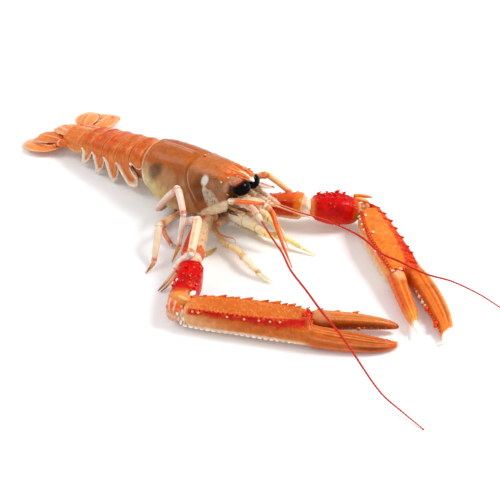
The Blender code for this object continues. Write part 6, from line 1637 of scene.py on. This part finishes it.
leg("leg_3_l", [(34.0, 7.6, 4.4, 1.3), (46.0, 6.6, 2.6, 1.3), (58.0, 3.6, 2.0, 1.3), (63.0, 2.0, 2.4, 1.3), (67.6, 1.4, 3.4, 1.35),
                (72.0, 2.6, 4.2, 1.35), (77.0, 3.2, 4.4, 1.25), (84.0, 4.6, 2.8, 1.05), (92.3, 6.2, 0.8, 0.3)],
    [3, 5, 7], plain_paint([rgb(244, 224, 172), rgb(248, 228, 150), rgb(248, 232, 160), rgb(252, 244, 196)], rgb(244, 214, 136),
                           rgb(236, 180, 84), rgb(252, 244, 200)), slot="leg_cream", soft=(250, 236, 196)).done()
leg("leg_4_l", [(22.4, 7.6, 3.6, 1.1), (28.0, 0.0, 1.8, 1.0), (34.6, -9.6, 1.3, 0.95), (44.0, -20.6, 1.3, 1.0), (51.4, -27.8, 1.5, 1.05),
                (55.0, -26.6, 1.7, 1.05), (55.4, -22.6, 1.2, 0.8), (54.4, -18.4, 0.5, 0.3)],
    [2, 4, 5], plain_paint([rgb(232, 200, 160), rgb(234, 206, 164), rgb(214, 178, 110), rgb(196, 156, 84)], rgb(210, 170, 110),
                           rgb(216, 140, 80), rgb(190, 150, 80)), slot="leg_cream").done()
leg("leg_5_l", [(12.6, 7.6, 3.6, 1.1), (17.0, -2.0, 1.8, 1.0), (21.4, -12.6, 1.4, 0.95), (27.0, -25.6, 2.4, 1.05), (32.6, -29.0, 3.0, 1.05),
                (39.0, -31.6, 2.0, 0.85), (42.0, -28.6, 0.6, 0.25)],
    [2, 3, 5], plain_paint([rgb(226, 186, 150), rgb(196, 110, 80), rgb(206, 128, 96), rgb(226, 190, 160)], rgb(170, 88, 62),
                           rgb(190, 74, 52), rgb(214, 180, 150))).done()

# the short leg roots in two rows under the body, with the breastplate between them
p = Piece("leg_roots", [], "leg_cream", LOOK["leg"])
for x, r in ((14.5, 1.9), (24.0, 2.1), (32.8, 2.2), (40.0, 2.3), (45.2, 2.4)):
    for s in (-1, 1):
        P, A, B, T, *_ = ringset([(x, s * 2.2, 4.9, r, 1.2), (x, s * 4.4, 4.6, r * 1.08, 1.6), (x + 0.4, s * 6.6, 4.4, r, 1.7), (x + 0.8, s * 8.6, 4.8, r * 0.75, 1.4)], 22, 22, 2.2)
        P = push(P, 0.2 * (fbm(P, 1.5, 5) - 0.5))
        p.grid(P, over(np.broadcast_to(rgb(228, 190, 154), P.shape), rgb(214, 120, 72), smooth(fbm(P, 2, 6), 0.5, 0.7) * 0.6), 0.5)
P, A, B, T, *_ = ringset([(9.0, 0, 5.0, 1.2, 0.8), (16.0, 0, 4.4, 2.6, 1.2), (30.0, 0, 4.2, 2.2, 1.2), (42.0, 0, 5.2, 1.8, 1.2), (50.0, 0, 8.0, 1.4, 1.6), (53.0, 0, 11.0, 1.2, 1.8)], 24, 60, 2.2)
p.grid(push(P, 0.2 * (fbm(P, 2, 5) - 0.5)), rgb(228, 200, 170), 0.5)
p.done()

# the curled feeler of the mouth leg that hangs in front of the legs
p = Piece("mouth_palps", [], "mouth_cream", LOOK["mouth"])
for pts, col in (([(47.0, -10.6, 7.4, 0.6), (49.3, -13.0, 7.0, 0.55), (54.2, -16.1, 7.0, 0.5), (57.9, -16.0, 7.0, 0.42), (61.2, -14.7, 7.0, 0.36), (63.5, -15.5, 6.6, 0.28), (61.8, -14.6, 4.4, 0.16)], rgb(190, 124, 72)),):
    d = np.array([(x, y, z, r, r) for x, y, z, r in pts])
    P, A, B, T, *_ = ringset(d, 10, 70, 2.0)
    p.grid(P, over(np.broadcast_to(col, P.shape), rgb(240, 214, 180), smooth(T, 0.5, 1.0) * 0.8), 0.5)
p.done()

# ================================================================ stage, light, camera
floor_mesh = bpy.data.meshes.new("floor_plane")
size = 4.0
floor_mesh.from_pydata([(-size, -size, 0), (size, -size, 0), (size, size, 0), (-size, size, 0)], [], [(0, 1, 2, 3)])
floor = bpy.data.objects.new("floor_plane", floor_mesh)
bpy.context.scene.collection.objects.link(floor)
fm = bpy.data.materials.new("pale_floor")
fm.use_nodes = True
b = fm.node_tree.nodes["Principled BSDF"]
b.inputs["Base Color"].default_value = (0.93, 0.935, 0.94, 1)
b.inputs["Roughness"].default_value = 0.6
b.inputs["Specular IOR Level"].default_value = 0.15
b.inputs["Emission Color"].default_value = (0.92, 0.97, 1.0, 1)
b.inputs["Emission Strength"].default_value = 0.045
floor_mesh.materials.append(fm)

scene = bpy.context.scene
world = bpy.data.worlds.new("studio")
scene.world = world
world.use_nodes = True
bg = world.node_tree.nodes["Background"]
bg.inputs["Color"].default_value = (0.97, 0.985, 1.0, 1)
bg.inputs["Strength"].default_value = 0.72


def softbox(name, place, target, size, power, colour=(1, 1, 1)):
    data = bpy.data.lights.new(name, "AREA")
    data.shape = "RECTANGLE"
    data.size, data.size_y = size
    data.energy = power
    data.color = colour
    ob = bpy.data.objects.new(name, data)
    scene.collection.objects.link(ob)
    ob.location = place
    ob.rotation_euler = (Vector(target) - Vector(place)).to_track_quat("-Z", "Y").to_euler()
    return ob


softbox("key_softbox", (0.55, 0.62, 0.95), (0.0, 0.0, 0.0), (0.42, 0.42), 10.5)
softbox("fill_softbox", (-0.75, -0.35, 0.75), (0.0, 0.0, 0.0), (0.6, 0.6), 3.2)

cam_data = bpy.data.cameras.new("camera")
cam_data.sensor_width = 36.0
cam_data.sensor_fit = "HORIZONTAL"
cam_data.lens = 882.0 / 500.0 * 36.0
cam_data.clip_start, cam_data.clip_end = 0.01, 20
camera = bpy.data.objects.new("camera", cam_data)
scene.collection.objects.link(camera)
camera.location = (0.22585, -0.24010, 0.23608)
camera.rotation_euler = Vector((-0.5277, 0.6098, -0.5913)).to_track_quat("-Z", "Y").to_euler()
scene.camera = camera
scene.view_settings.view_transform = "Standard"
scene.view_settings.look = "None"
